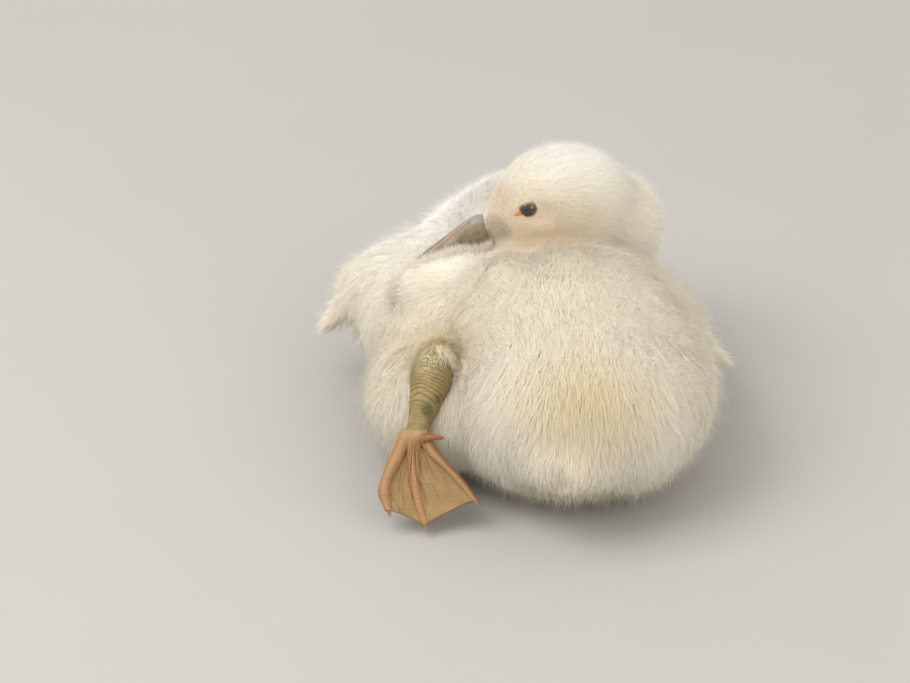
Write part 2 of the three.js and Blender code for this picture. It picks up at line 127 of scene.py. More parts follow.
# ---------- fields


def ellipsoid(form):
    """Field of an ellipsoid: with k the length of the point divided by the radii, k (k - 1) over the length
    of the point divided by the radii twice. It is nothing on the surface and below nothing inside."""
    centre, radii = (np.asarray(part, float) for part in form)

    def field(points):
        share = (points - centre) / radii
        far = np.linalg.norm(share, axis=-1)
        steep = np.linalg.norm(share / radii, axis=-1)
        return far * (far - 1) / np.maximum(steep, 1e-9)

    return field


def rod(start, end, start_radius, end_radius):
    """Field of a rod with round ends: the distance to its middle line, less the radius there."""
    start, end = np.asarray(start, float), np.asarray(end, float)
    line = end - start

    def field(points):
        share = np.clip((points - start) @ line / (line @ line), 0, 1)
        away = np.linalg.norm(points - start - share[..., None] * line, axis=-1)
        return away - start_radius - share * (end_radius - start_radius)

    return field


def melt(a, b, width):
    """The smaller of two fields, rounded off where they differ by less than width."""
    share = np.maximum(width - np.abs(a - b), 0) / width
    return np.minimum(a, b) - share * share * width / 4


def melted(fields, width):
    """Several fields melted into one another in order."""

    def field(points):
        total = fields[0](points)
        for other in fields[1:]:
            total = melt(total, other(points), width)
        return total

    return field


def chain(points, radii, width):
    """Field of rods that follow one another through points."""
    rods = [rod(points[i], points[i + 1], radii[i], radii[i + 1]) for i in range(len(points) - 1)]
    return melted(rods, width)


trunk_field = melted(
    [ellipsoid(form) for form in TRUNK_FORMS]
    + [rod(*BREAST_SIDE), rod(*VALLEY), chain(BILL_BED, BILL_BED_RADII, 3)], TRUNK_MELT)
thigh_field = melted([ellipsoid(THIGH), rod(*CUFF)], THIGH_MELT)
skull_field = melted(
    [ellipsoid(SKULL), ellipsoid(CHEEKS), rod(SKULL[0], BILL_BASE, *FACE_RADII),
     chain(NECK_POINTS, NECK_RADII, HEAD_MELT)], HEAD_MELT)
wing_fields = [chain(points, WING_RADII, WING_MELT) for points in WING_POINTS.values()]


def head_field(points):
    """The skull and neck, less a shallow ball-shaped hollow at each eye."""
    total = skull_field(points)
    for middle, radius, width in EYE_HOLLOWS:
        dip = np.linalg.norm(points - middle, axis=-1) - radius
        total = -melt(-total, dip, width)
    away = points - BILL_BASE
    return -melt(-total, -(away @ FORWARD - FACE_EDGE - away @ UP * FACE_SLANT), 3)


def bird_field(points):
    """The whole bird out to the tips of its down: below nothing inside, and flat on the floor."""
    total = melt(trunk_field(points), thigh_field(points), THIGH_MELT)
    total = melt(total, head_field(points), JOIN_MELT)
    for wing in wing_fields:
        total = melt(total, wing(points), JOIN_MELT)
    return -melt(-total, points[..., 2], 4)


def slope_of(field, points):
    """Slope of a field along the three axes, from its change over a short step each way."""
    found = np.empty_like(points)
    for axis in range(3):
        move = np.zeros(3)
        move[axis] = SLOPE_STEP
        found[:, axis] = (field(points + move) - field(points - move)) / (2 * SLOPE_STEP)
    return found


def slid(points, field, rounds):
    """Points slid along a field's slope until they lie where it is nothing."""
    for _ in range(rounds):
        slope = slope_of(field, points)
        steep = np.maximum(np.linalg.norm(slope, axis=1), LEAST_SLOPE)
        step = np.clip(field(points) / steep, -SLIDE_STEP, SLIDE_STEP)
        points = points - (step / steep)[:, None] * slope
    return points


# ---------- the lie of the down


def head_lie(piece, forward, left, up, depth, length, fall=0):
    """Lines of the table for a place on the head and the one across from it. The down there lies backwards,
    and downwards by its fall."""
    return [(piece, on_head(forward, side, up), -FORWARD + (0, 0, fall), depth, length)
            for side in ((left, -left) if left else (0,))]


HEAD_LIE = (  # piece, place forward, left and up on the head, the coat's depth, a tuft's length, and its fall
    ("face", 36, 0, -4, 0.7, 1.5),
    ("face", 32, 7, -8, 0.7, 1.4),
    ("face", 34, 0, 3, 0.9, 1.8),
    ("face", 27, 0, 14, 2.0, 4.2),
    ("face", 26, 12, 0, 1.0, 2.6),
    ("face", 17, 15, 8.5, 0.9, 2.0),
    ("face", 24, 12, 8, 1.0, 2.2),
    ("head", 16, 9, 18, 2.6, 5.4),
    ("head", 0, 0, 22, 3.8, 7.0),
    ("head", -18, 0, 20, 4.2, 6.8, -0.3),
    ("head", -30, 0, 2, 4.6, 7.6, -0.9),
    ("head", 2, 21, 0, 3.0, 6.0, -0.3),
    ("head", -16, 20, 4, 3.8, 6.4, -0.5),
    ("face", 10, 17, -10, 2.2, 4.6, -0.2),
    ("face", 14, 0, -20, 1.8, 3.4),
)

# Each line: coat piece, place, the way the down lies, the coat's depth and the length of a tuft
LIE = [line for row in HEAD_LIE for line in head_lie(*row)] + [
    ("neck", (36, 70, 92), (0.7, 0.1, -0.9), 4.8, 8.5),
    ("neck", (52, 86, 78), (0.3, 0.5, -0.9), 5.4, 9.5),
    ("neck", (34, 106, 78), (-0.1, 0.6, -0.8), 5.4, 9.5),
    ("neck", (14, 92, 100), (0.2, 0.9, -0.5), 4.8, 8.5),
    ("neck", (10, 118, 74), (-0.2, 0.5, -0.9), 6.0, 10.5),
    ("breast", (-6, 132, 46), (-0.1, 0.1, -1), 6.8, 11),
    ("breast", (-40, 118, 70), (-0.6, 0.1, -0.5), 6.4, 10.5),
    ("breast", (30, 122, 40), (0.4, -0.1, -0.9), 6.8, 11),
    ("breast", (-56, 104, 60), (-0.8, -0.2, -0.5), 6.4, 10.5),
    ("mantle_left", (-62, 78, 66), (-0.8, -0.6, -0.1), 6.2, 10.5),
    ("mantle_left", (-38, 60, 70), (-0.5, -0.9, 0.1), 5.2, 8.6),
    ("mantle_left", (-60, 40, 62), (-0.6, -0.9, -0.2), 6.4, 10.5),
    ("mantle_left", (-80, 48, 36), (-0.5, -0.7, -0.6), 6.2, 10.5),
    ("mantle_left", (-86, 84, 34), (-0.6, -0.5, -0.6), 5.6, 9.5),
    ("bed", (-22, 54, 82), (-0.1, 0.5, 1.2), 4.4, 4.4),
    ("bed", (-34, 51, 84), (-0.2, 0.5, 1.2), 4.4, 4.4),
    ("bed", (-46, 48, 81), (-0.3, 0.5, 1.1), 4.4, 4.4),
    ("bed", (-56, 46, 76), (-0.8, -0.3, 0.3), 4.2, 6),
    ("bed", (-30, 42, 80), (-0.2, -0.8, 0.3), 5.4, 8),
    ("bed", (-50, 38, 74), (-0.4, -0.8, 0.1), 5.6, 8.6),
    ("back", (10, 40, 92), (0, -1, -0.1), 3.6, 10),
    ("back", (-16, 24, 84), (-0.3, -1, -0.2), 4.2, 10.6),
    ("back", (46, 30, 82), (0.4, -0.9, -0.2), 4.4, 10.6),
    ("rump_top", (10, 0, 90), (0, -1, -0.2), 5.2, 11),
    ("rump_top", (44, -8, 82), (0.3, -0.9, -0.4), 7, 11),
    ("rump_top", (10, -26, 84), (0, -0.9, -0.5), 7, 11),
    ("rump_low", (-22, -34, 56), (-0.4, -0.5, -0.8), 7, 11),
    ("rump_low", (20, -54, 62), (0, -0.5, -0.9), 7, 11),
    ("rump_low", (46, -42, 50), (0.3, -0.5, -0.9), 7, 11),
    ("tail", (14, -68, 40), (0, -1, -0.1), 4.6, 9.5),
    ("tail", (-8, -52, 36), (-0.3, -0.8, -0.5), 6, 10),
    ("tail", (34, -56, 36), (0.3, -0.8, -0.5), 6, 10),
    ("flank_right", (74, -6, 60), (0.4, -0.8, -0.6), 6.8, 11),
    ("flank_right", (72, -28, 42), (0.3, -0.7, -0.8), 6.8, 11),
    ("flank_right", (78, 20, 40), (0.3, -0.8, -0.5), 6.8, 11),
    ("flank_right", (56, 60, 58), (0.5, -0.8, -0.2), 6, 10),
    ("flank_right", (68, 76, 34), (0.5, -0.7, -0.4), 5.6, 9.5),
    ("thigh_left", (-52, 20, 60), (-0.3, -0.9, 0), 6.4, 10),
    ("thigh_left", (-72, 6, 42), (-0.5, -0.6, -0.6), 6.4, 10.4),
    ("thigh_left", (-46, -2, 68), (0, -1, -0.2), 4.2, 9.5),
    ("thigh_left", (-55, -6, 62), (-0.2, -1, -0.4), 4.2, 9),
    ("thigh_left", (-37, -6, 62), (0.2, -1, -0.4), 4.2, 9),
    ("thigh_left", (-46, -26, 36), (0, -0.4, -0.9), 5.0, 8.2),
    ("thigh_left", (-56, -20, 20), (-0.2, -0.5, -0.8), 5.6, 9.4),
    ("thigh_left", (-24, -10, 56), (0.2, -0.9, -0.4), 5.4, 9),
    ("thigh_left", (-29, 28, 74), (-0.4, -0.8, -0.6), 4.0, 9),
    ("bed", (-22, 37, 82), (-0.3, -0.9, -0.3), 3.6, 8.5),
    ("underside", (4, 30, 0), (0, -1, 0), 3.0, 8),
    ("underside", (4, -20, 4), (0, -1, 0), 3.4, 8),
    ("underside", (-40, 20, 4), (-0.2, -1, 0), 3.4, 8),
    ("underside", (50, 20, 4), (0.2, -1, 0), 3.4, 8),
    ("underside", (0, 90, 8), (0, -0.9, 0), 4.4, 8),
    ("wing_left", (-76, 82, 52), (-0.8, -0.5, -0.4), 4.2, 8),
    ("wing_left", (-92, 72, 40), (-0.8, -0.6, -0.6), 3.2, 8.4),
    ("wing_left", (-104, 63, 30), (-0.8, -0.6, -0.7), 3.2, 11),
    ("wing_right", (64, 66, 48), (0.7, -0.7, -0.1), 4.2, 8),
    ("wing_right", (77, 53, 34), (0.8, -0.6, -0.4), 3.4, 8.4),
    ("wing_right", (90, 44, 28), (0.8, -0.5, -0.3), 3.2, 11),
]
LIE_PIECES = sorted({line[0] for line in LIE})
LIE_INDEX = np.array([LIE_PIECES.index(line[0]) for line in LIE])
LIE_PLACES = np.array([line[1] for line in LIE], float)
# The table's depths are cut to a share of themselves, deep ones to a smaller share and a fixed depth more,
# and its lengths to a share
DEPTH_SHARE, DEEP_SHARE, DEEP_MORE, LENGTH_SHARE = 0.75, 0.38, 0.9, 0.86
LIE_VALUES = np.hstack([unit([line[2] for line in LIE]), [
    [min(DEEP_MORE + line[3] * DEEP_SHARE, line[3] * DEPTH_SHARE), line[4] * LENGTH_SHARE]
    for line in LIE]])
LIE_REACH = 8.0  # how far the lines' values are blurred into one another


def off_lie(points):
    """Squared distance from each point to each place of the table."""
    squares = (points ** 2).sum(1)[:, None] + (LIE_PLACES ** 2).sum(1)[None]
    return np.maximum(squares - 2 * points @ LIE_PLACES.T, 0)


def lie_at(points):
    """The table's values at points: their mean, each weighed by one over its squared distance, with
    the reach added, squared."""
    weights = 1 / (off_lie(points) + LIE_REACH ** 2) ** 2
    return weights @ LIE_VALUES / weights.sum(1, keepdims=True)


def skin_field(points):
    """The bird's field raised by the coat's depth, so that it is nothing on the skin under the down."""
    return bird_field(points) + lie_at(points)[:, 3]


# ---------- meshes


def new_mesh(name, points, corners, counts, material):
    """A smooth mesh from points in metres, the corners of its faces in a row, and how many each face has."""
    mesh = bpy.data.meshes.new(name)
    mesh.vertices.add(len(points))
    mesh.vertices.foreach_set("co", np.asarray(points, np.float32).ravel())
    mesh.loops.add(len(corners))
    mesh.loops.foreach_set("vertex_index", corners.astype(np.int32))
    mesh.polygons.add(len(counts))
    mesh.polygons.foreach_set("loop_start", (np.cumsum(counts) - counts).astype(np.int32))
    mesh.update(calc_edges=True)
    mesh.polygons.foreach_set("use_smooth", np.ones(len(counts), bool))
    mesh.materials.append(material)
    return mesh


def shown(mesh):
    """An object for a mesh, under the same name."""
    piece = bpy.data.objects.new(mesh.name, mesh)
    bpy.context.scene.collection.objects.link(piece)
    return piece


def mesh_piece(name, points, faces, material):
    """A mesh object from points in metres and a list of arrays of faces, each with as many corners."""
    corners = np.concatenate([np.asarray(part).ravel() for part in faces])
    counts = np.concatenate([np.full(len(part), np.shape(part)[1]) for part in faces])
    mesh = new_mesh(name, points, corners, counts, material)
    mesh.validate()
    return shown(mesh)


def with_values(piece, values):
    """Gives a piece numbers for each of its points, by name, for its material."""
    for name, numbers in values.items():
        layer = piece.data.attributes.new(name, "FLOAT", "POINT")
        layer.data.foreach_set("value", np.asarray(numbers, np.float32).ravel())
    return piece


def numbers_of(rows, name, width, kind=float):
    """One value of all the rows of a mesh's table, such as its points' places, as rows of numbers."""
    values = np.empty(len(rows) * width, kind)
    rows.foreach_get(name, values)
    return values.reshape(-1, width)


def lattice(rows, columns, wrapped=False):
    """Corners of the four-sided faces of a grid of points, row by row. Wrapped joins the last column to
    the first."""
    index = np.arange(rows * columns).reshape(rows, columns)
    if wrapped:
        index = np.hstack([index, index[:, :1]])
    return np.stack([index[:-1, :-1], index[:-1, 1:], index[1:, 1:], index[1:, :-1]], -1).reshape(-1, 4)


def capped(grid):
    """A closed tube from rows of points round it: its points, its walls and a fan at each end."""
    rows, columns = grid.shape[:2]
    points = np.vstack([grid.reshape(-1, 3), grid[0].mean(0), grid[-1].mean(0)])
    ring = np.arange(columns)
    following = (ring + 1) % columns
    last = (rows - 1) * columns
    first_fan = np.stack([following, ring, np.full(columns, rows * columns)], 1)
    last_fan = np.stack([last + ring, last + following, np.full(columns, rows * columns + 1)], 1)
    return points, [lattice(rows, columns, True), np.vstack([first_fan, last_fan])]


def closed_piece(name, points, faces, material, values=None):
    """A closed mesh object from design millimetres, kept just above the floor, with its faces outwards."""
    points = np.array(points, float)
    points[:, 2] = np.maximum(points[:, 2], FLOOR_GAP)
    piece = with_values(mesh_piece(name, placed(points), faces, material), values or {})
    shape = bmesh.new()
    shape.from_mesh(piece.data)
    bmesh.ops.recalc_face_normals(shape, faces=shape.faces)
    shape.to_mesh(piece.data)
    shape.free()
    return piece


def spline(points, shares):
    """A smooth path through points: on each span the cubic whose slope at a point is half the step
    between its two neighbours."""
    points = np.asarray(points, float)
    if points.ndim == 1:
        points = points[:, None]
    padded = np.vstack([2 * points[0] - points[1], points, 2 * points[-1] - points[-2]])
    place = np.clip(np.asarray(shares, float), 0, 1) * (len(points) - 1)
    span = np.minimum(place.astype(int), len(points) - 2)
    t = (place - span)[..., None]
    a, b, c, d = (padded[span + i] for i in range(4))
    return b + 0.5 * t * (c - a + t * (2 * a - 5 * b + 4 * c - d + t * (3 * (b - c) + d - a)))


def along(values, shares):
    """Numbers read off an evenly spaced list on the smooth path through them."""
    return spline(values, shares)[..., 0]


def tube(path, side, width, height=None):
    """A closed tube along a path. Width and height are half-measures, by row and by angle, and the width
    runs the way across the path that is nearest to side."""
    forward = unit(np.gradient(path, axis=0))
    side = np.asarray(side, float)
    across = unit(side - (forward @ side)[:, None] * forward)
    out = np.cross(forward, across)
    angle = 2 * np.pi * np.arange(width.shape[1]) / width.shape[1]
    height = width if height is None else height
    wide = across[:, None] * (width * np.cos(angle))[..., None]
    return capped(path[:, None] + (wide + out[:, None] * (height * np.sin(angle))[..., None]))


def kept(piece, slot, *nodes):
    """Makes a finished piece ride on the bird and hides the nodes it stands for. Its slot is not used."""
    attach(piece, BODY)
    if nodes:
        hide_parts(*nodes)


# ---------- materials


class Wire:
    """An output of a node in a material. Arithmetic on it adds Math nodes, and node() adds any other."""

    def __init__(self, tree, socket=None):
        self.tree = tree
        self.socket = socket

    def node(self, kind, settings=None, inputs=None, output=0):
        """A new node of a kind: its settings, then the values or wires of its inputs."""
        made = self.tree.nodes.new(kind)
        for name, value in (settings or {}).items():
            setattr(made, name, value)
        for name, value in (inputs or {}).items():
            if isinstance(value, Wire):
                self.tree.links.new(value.socket, made.inputs[name])
            else:
                made.inputs[name].default_value = value
        return Wire(self.tree, made.outputs[output])

    def sums(self, operation, *values):
        return self.node("ShaderNodeMath", {"operation": operation}, dict(enumerate(values)))

    def vector(self, operation, *values, output=0):
        return self.node("ShaderNodeVectorMath", {"operation": operation}, dict(enumerate(values)), output)

    def __add__(self, other):
        return self.sums("ADD", self, other)

    def __sub__(self, other):
        return self.sums("SUBTRACT", self, other)

    def __rsub__(self, other):
        return self.sums("SUBTRACT", other, self)

    def __mul__(self, other):
        return self.sums("MULTIPLY", self, other)

    __radd__ = __add__
    __rmul__ = __mul__

    def between(self, first, second):
        """One colour where this is nothing and another where it is one, mixed between."""
        return self.node("ShaderNodeMix", {"data_type": "RGBA"}, {0: self, 6: first, 7: second}, 2)

    def shades(self, tone, first, second):
        """A colour in one shade where this is nothing and another where it is one."""
        return self.between(rgba(tone, first), rgba(tone, second))

    def mixed(self, tone, share, shade=1.0):
        """This colour with a shade of another one over it, by share."""
        return share.between(self, rgba(tone, shade))

    def step(self, low, high, start=0.0, end=1.0):
        """Start below low, end above high, and a smooth change between."""
        return self.node("ShaderNodeMapRange", {"interpolation_type": "SMOOTHSTEP"},
                         {0: self, 1: low, 2: high, 3: start, 4: end})

    def near(self, centre, radii, soft=0.5):
        """One within an ellipsoid, and nothing outside it, over a soft edge. Its centre and radii are in
        design millimetres."""
        away = self.vector("SUBTRACT", self, tuple(placed(centre)))
        share = away.vector("DIVIDE", away, tuple(np.asarray(radii) * 0.001))
        return share.vector("LENGTH", share, output=1).step(1 - soft, 1 + soft, 1.0, 0.0)

    def noise(self, scale, detail=3.0, roughness=0.6):
        return self.node("ShaderNodeTexNoise", None, {
            "Vector": self, "Scale": scale, "Detail": detail, "Roughness": roughness})

    def cells(self, scale, uneven):
        """How far a place is from the edge of its cell, among small cells that fill space."""
        return self.node("ShaderNodeTexVoronoi", {"feature": "DISTANCE_TO_EDGE"}, {
            "Vector": self, "Scale": scale, "Randomness": uneven})

    def bands(self, way, scale, distortion, detail, detail_scale):
        """Bent bands across the X or Z direction."""
        return self.node("ShaderNodeTexWave", {"wave_type": "BANDS", "bands_direction": way}, {
            "Vector": self, "Scale": scale, "Distortion": distortion, "Detail": detail,
            "Detail Scale": detail_scale}, 1)

    def value(self, name):
        """Numbers that a piece holds for its points."""
        return self.node("ShaderNodeAttribute", {"attribute_name": name}, None, 2)

    def bump(self, strength, distance):
        """Normals turned by this height."""
        return self.node("ShaderNodeBump", None, {
            "Strength": strength, "Distance": distance, "Height": self})

    def surface(self, roughness, normal=None, more=None):
        """A Principled surface of this colour, with a roughness, bumps and other sockets."""
        inputs = {"Base Color": self, "Roughness": roughness, **(more or {})}
        if normal is not None:
            inputs["Normal"] = normal
        return self.node("ShaderNodeBsdfPrincipled", None, inputs)

    def ends(self):
        """Makes this the surface of its material."""
        self.tree.links.new(self.socket, self.tree.nodes.new("ShaderNodeOutputMaterial").inputs["Surface"])


def new_material(name):
    """An empty material, and a wire with the place on the piece."""
    material = bpy.data.materials.new(name)
    material.use_nodes = True
    material.node_tree.nodes.clear()
    return material, Wire(material.node_tree).node("ShaderNodeTexCoord", None, None, 3)


def srgb(red, green, blue):
    """A colour from its eight-bit values, as the linear numbers that shaders use."""
    share = np.array([red, green, blue]) / 255
    linear = np.where(share <= 0.04045, share / 12.92, ((share + 0.055) / 1.055) ** 2.4)
    return tuple(float(value) for value in linear)


def colour_property(name, description, red, green, blue):
    """A colour that a user can change, from its eight-bit values."""
    return bpy.props.FloatVectorProperty(
        name=name, description=description, default=srgb(red, green, blue),
        size=3, min=0, max=1, subtype="COLOR")


def rgba(colour, share=1.0):
    """A colour for a socket, made darker or lighter by share."""
    return (*(np.array(colour) * share), 1.0)


class CygnetDown(bpy.types.PropertyGroup):
    """Down: its amount, its form and its colours."""

    tufts: bpy.props.IntProperty(
        name="Tufts", description="Number of tufts in the whole coat", default=470000, min=1000, max=490000)
    spread: bpy.props.FloatProperty(
        name="Spread", description="How far tufts turn away from the lie of the coat",
        default=0.10, min=0, max=1, subtype="FACTOR")
    stand: bpy.props.FloatProperty(
        name="Stand", description="How steeply the tufts rise, as a share of the coat's depth",
        default=1.0, min=0.3, max=1.6, subtype="FACTOR")
    thickness: bpy.props.FloatProperty(
        name="Thickness", description="Width of a long tuft at its root", default=0.00026, min=0.0001,
        max=0.001, subtype="DISTANCE", unit="LENGTH")
    cell: bpy.props.FloatProperty(
        name="Skin cell", description="Size of the cells that the skin is made of", default=0.0019,
        min=0.001, max=0.004, subtype="DISTANCE", unit="LENGTH")
    seed: bpy.props.IntProperty(name="Seed", description="Start of the random draws", default=7, min=0)
    cream: colour_property("Cream", "Most of the body", 250, 244, 230)
    # painted highlight: the crown and the upper left, where the key light falls, are painted whiter
    lit_white: colour_property("White", "Crown, breast and left shoulder", 253, 250, 244)
    beige: colour_property("Beige", "Cheeks and forehead", 238, 223, 198)
    grey: colour_property("Grey", "Between the bill and the eye", 200, 184, 166)
    straw: colour_property("Straw", "Stained patch on the rump", 242, 228, 194)
    # buff also paints shade along the underside, next to the floor
    buff: colour_property("Buff", "Tips of the wings and the thigh", 243, 233, 214)


class CygnetBare(bpy.types.PropertyGroup):
    """Colours of the eyes, bill, legs and feet."""

    iris: colour_property("Iris", "Ring round the pupil", 74, 44, 24)
    rim: colour_property("Lid", "Edge of the lids", 112, 100, 78)
    corner: colour_property("Eye corner", "Bare corner in front of the eye", 186, 116, 46)
    bill: colour_property("Bill", "Sides of the bill", 124, 107, 82)
    # painted highlight: a lighter pinkish line along the ridge of the bill
    culmen_highlight: colour_property("Culmen", "Ridge of the bill", 172, 138, 120)
    base: colour_property("Bill base", "Raised skin where the bill meets the forehead", 130, 123, 124)
    nail: colour_property("Nail", "Nail at the bill's tip", 92, 80, 70)
    shank: colour_property("Shank", "Scaled shank", 142, 123, 72)
    # fold paints shade in the hollows of the shank's folds, and the dark edges of its scales; ring paints
    # highlight on the folds' crests
    fold: colour_property("Shank folds", "Creases of the shank", 88, 70, 36)
    ring: colour_property("Shank rings", "Raised rings of the shank", 164, 138, 84)
    web: colour_property("Web", "Webs and toes", 147, 119, 73)
    pad: colour_property("Pads", "Ridges of the toes and their pads", 164, 121, 84)
    edge: colour_property("Edges", "Edges of the webs, the hind toe and the creases", 140, 88, 38)
    claw: colour_property("Claw", "Claws", 112, 84, 60)


class CygnetStage(bpy.types.PropertyGroup):
    """Floor, lights and camera."""

    floor: colour_property("Floor", "Plain pale floor", 160, 158, 153)
    key: bpy.props.FloatProperty(
        name="Key light", description="Power of the large light from the upper left", default=18.5, min=0,
        unit="POWER")
    fill: bpy.props.FloatProperty(
        name="Fill light", description="Power of the light from the right", default=5.4, min=0, unit="POWER")
    sky: bpy.props.FloatProperty(
        name="Sky", description="Strength of the even light from all round", default=1.15, min=0)
    lens: bpy.props.FloatProperty(
        name="Lens", description="Focal length of the camera in millimetres", default=129.0, min=10, max=400)


# ---------- markings of the down

# Rounded patches of colour on the down, one over another: centre, radii, softness, strength and colour
PATCHES = (
    # painted highlight: whiter crown, where the light falls
    ((16, 74, 126), (24, 20, 14), 0.6, 0.8, "lit_white"),
    ((-3, 53, 95), (25, 12, 17), 0.6, 0.9, "beige"),
    ((-3, 89, 95), (25, 12, 17), 0.6, 0.9, "beige"),
    ((-18, 69, 102), (12, 14, 9), 0.6, 0.75, "beige"),
    ((-20, 60, 91), (8, 6, 6), 0.5, 0.75, "grey"),
    ((-22, 75, 91), (8, 6, 6), 0.5, 0.75, "grey"),
    ((24, 52, 102), (6, 5, 5), 0.7, 0.35, "straw"),
    ((21, -52, 65), (27, 20, 19), 0.85, 0.8, "straw"),
    ((9, -66, 40), (5, 5, 5), 0.6, 0.35, "grey"),
    ((-50, 0, 44), (30, 34, 36), 0.7, 0.55, "buff"),
    ((-47, 0, 62), (12, 12, 12), 0.8, 0.75, "straw"),
    ((-104, 63, 32), (14, 14, 12), 0.6, 0.6, "buff"),
    ((94, 42, 27), (16, 16, 12), 0.6, 0.5, "buff"),
    # painted shade: darker buff along the underside, next to the floor
    ((10, 20, 4), (90, 100, 14), 0.8, 0.5, "buff"),
)
FLECK = (112, 94, 80)  # dark flecks before the eye
# the nostril's colour is painted shade: the dark inside of its opening
PUPIL, EYE_DARK, NOSTRIL_SHADE = (0.004, 0.003, 0.003), (0.006, 0.004, 0.003), (0.006, 0.004, 0.004)
GREEN_DIRT = (54, 62, 28)
DRY_FLAKE = (214, 208, 184)
LET_THROUGH = 0.32  # share of the light on the down that passes through it


def down_colour(place, settings):
    """The markings that skin and coat share, by place on the bird, with painted highlight on the crown and
    upper left and painted shade along the underside.
    """
    cloud = place.noise(55.0, 3.0, 0.55)
    fine = place.noise(420.0, 2.0, 0.6)
    # painted highlight: whiter over the upper left of the body, where the key light falls
    colour = place.near((-40, 100, 84), (60, 46, 40)).between(rgba(settings.cream), rgba(settings.lit_white))
    for centre, radii, soft, share, tone in PATCHES:
        mottled = place.near(centre, radii, soft) * (cloud * 0.6 + 0.7) * share
        colour = colour.mixed(getattr(settings, tone), mottled)
    flecks = place.noise(1100.0, 2.0, 0.6).step(0.54, 0.66) * place.near((-20, 64, 93), (9, 12, 7))
    return colour.mixed(srgb(*FLECK), flecks * 0.5), cloud, fine


def down_material(settings, coat):
    """Down: pale filaments that let some light through, or the skin that they grow from."""
    material, place = new_material("down" if coat else "downy skin")
    colour, cloud, fine = down_colour(place, settings)
    if coat:
        # painted shade: each tuft is painted slightly darker at its root, for the shade deep in the coat
        lit = place.value("reach").step(0.0, 1.0, 0.96, 1.0) * place.value("tone")
    else:
        # painted shade: the skin is painted darker than the down, for the shade in the gaps between tufts
        lit = fine * 0.10 + 0.70
    lit = lit * (cloud * 0.04 + 0.97)
    tinted = colour.node("ShaderNodeVectorMath", {"operation": "SCALE"}, {0: colour, "Scale": lit})
    if coat:
        front = tinted.surface(0.85, None, {
            "Specular IOR Level": 0.15, "Sheen Weight": 0.3, "Sheen Roughness": 0.5})
        behind = tinted.node("ShaderNodeBsdfTranslucent", None, {"Color": tinted})
        front.node("ShaderNodeMixShader", None, {0: LET_THROUGH, 1: front, 2: behind}).ends()
    else:
        tinted.surface(0.95, fine.bump(0.4, 0.0004), {"Specular IOR Level": 0.1}).ends()
    return material


# ---------- skin

FLESH = ("trunk", "thigh_left", "thigh_right", "tail", "neck", "head", "wing_left", "wing_right")


def flesh_mesh():
    """One mesh with the points of every flesh node welded within each node."""
    shape = bmesh.new()
    for name in FLESH:
        shape.from_mesh(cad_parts[name].data)
    bmesh.ops.remove_doubles(shape, verts=shape.verts, dist=1e-6)
    mesh = bpy.data.meshes.new("skin")
    shape.to_mesh(mesh)
    shape.free()
    return mesh


def evened(points, edges, rounds):
    """Points moved half way to the mean of their neighbours, some rounds over."""
    count = len(points)
    degree = np.maximum(np.bincount(edges.ravel(), minlength=count)[:, None], 1)
    for _ in range(rounds):
        total = np.stack([
            np.bincount(edges[:, 0], points[edges[:, 1], axis], count)
            + np.bincount(edges[:, 1], points[edges[:, 0], axis], count) for axis in range(3)], 1)
        points = points + 0.5 * (total / degree - points)
    return points


def largest_part(mesh):
    """Removes all but the largest connected part of a mesh."""
    shape = bmesh.new()
    shape.from_mesh(mesh)
    shape.verts.ensure_lookup_table()
    left, best = set(shape.verts), []
    while left:
        seen, queue = [], [left.pop()]
        while queue:
            vertex = queue.pop()
            seen.append(vertex)
            for edge in vertex.link_edges:
                other = edge.other_vert(vertex)
                if other in left:
                    left.remove(other)
                    queue.append(other)
        if len(seen) > len(best):
            best = seen
    keep = set(best)
    bmesh.ops.delete(shape, geom=[v for v in shape.verts if v not in keep], context="VERTS")
    shape.to_mesh(mesh)
    shape.free()


def make_skin(settings):
    """One closed skin: the flesh nodes made of even cells as one, slid onto the field of the bird raised by
    the coat's depth."""
    skin = shown(flesh_mesh())
    cells = skin.modifiers.new("Cells", "REMESH")
    cells.mode = "VOXEL"
    cells.voxel_size = settings.cell
    bpy.context.view_layer.objects.active = skin
    bpy.ops.object.modifier_apply(modifier=cells.name)
    mesh = skin.data
    largest_part(mesh)
    points = numbers_of(mesh.vertices, "co", 3) * 1000 - SHIFT
    edges = numbers_of(mesh.edges, "vertices", 2, np.int32)
    for rounds in (6, 3, 2):
        points = slid(evened(points, edges, rounds), skin_field, 5)
    mesh.vertices.foreach_set("co", placed(points).astype(np.float32).ravel())
    mesh.polygons.foreach_set("use_smooth", np.ones(len(mesh.polygons), bool))
    mesh.update()
    while mesh.uv_layers:
        mesh.uv_layers.remove(mesh.uv_layers[0])
    mesh.materials.clear()
    mesh.materials.append(down_material(settings, False))
    unwrapped(skin)
    return skin


def unwrapped(piece):
    """Unwraps a piece on its own shape, to the map that its colours are baked on."""
    for other in bpy.context.selected_objects:
        other.select_set(False)
    piece.select_set(True)
    bpy.context.view_layer.objects.active = piece
    piece.data.uv_layers.new(name=BAKE_MAP)
    bpy.ops.object.mode_set(mode="EDIT")
    bpy.ops.mesh.select_all(action="SELECT")
    bpy.ops.uv.smart_project(angle_limit=1.15, island_margin=0.004, scale_to_bounds=True)
    bpy.ops.object.mode_set(mode="OBJECT")


# ---------- coat

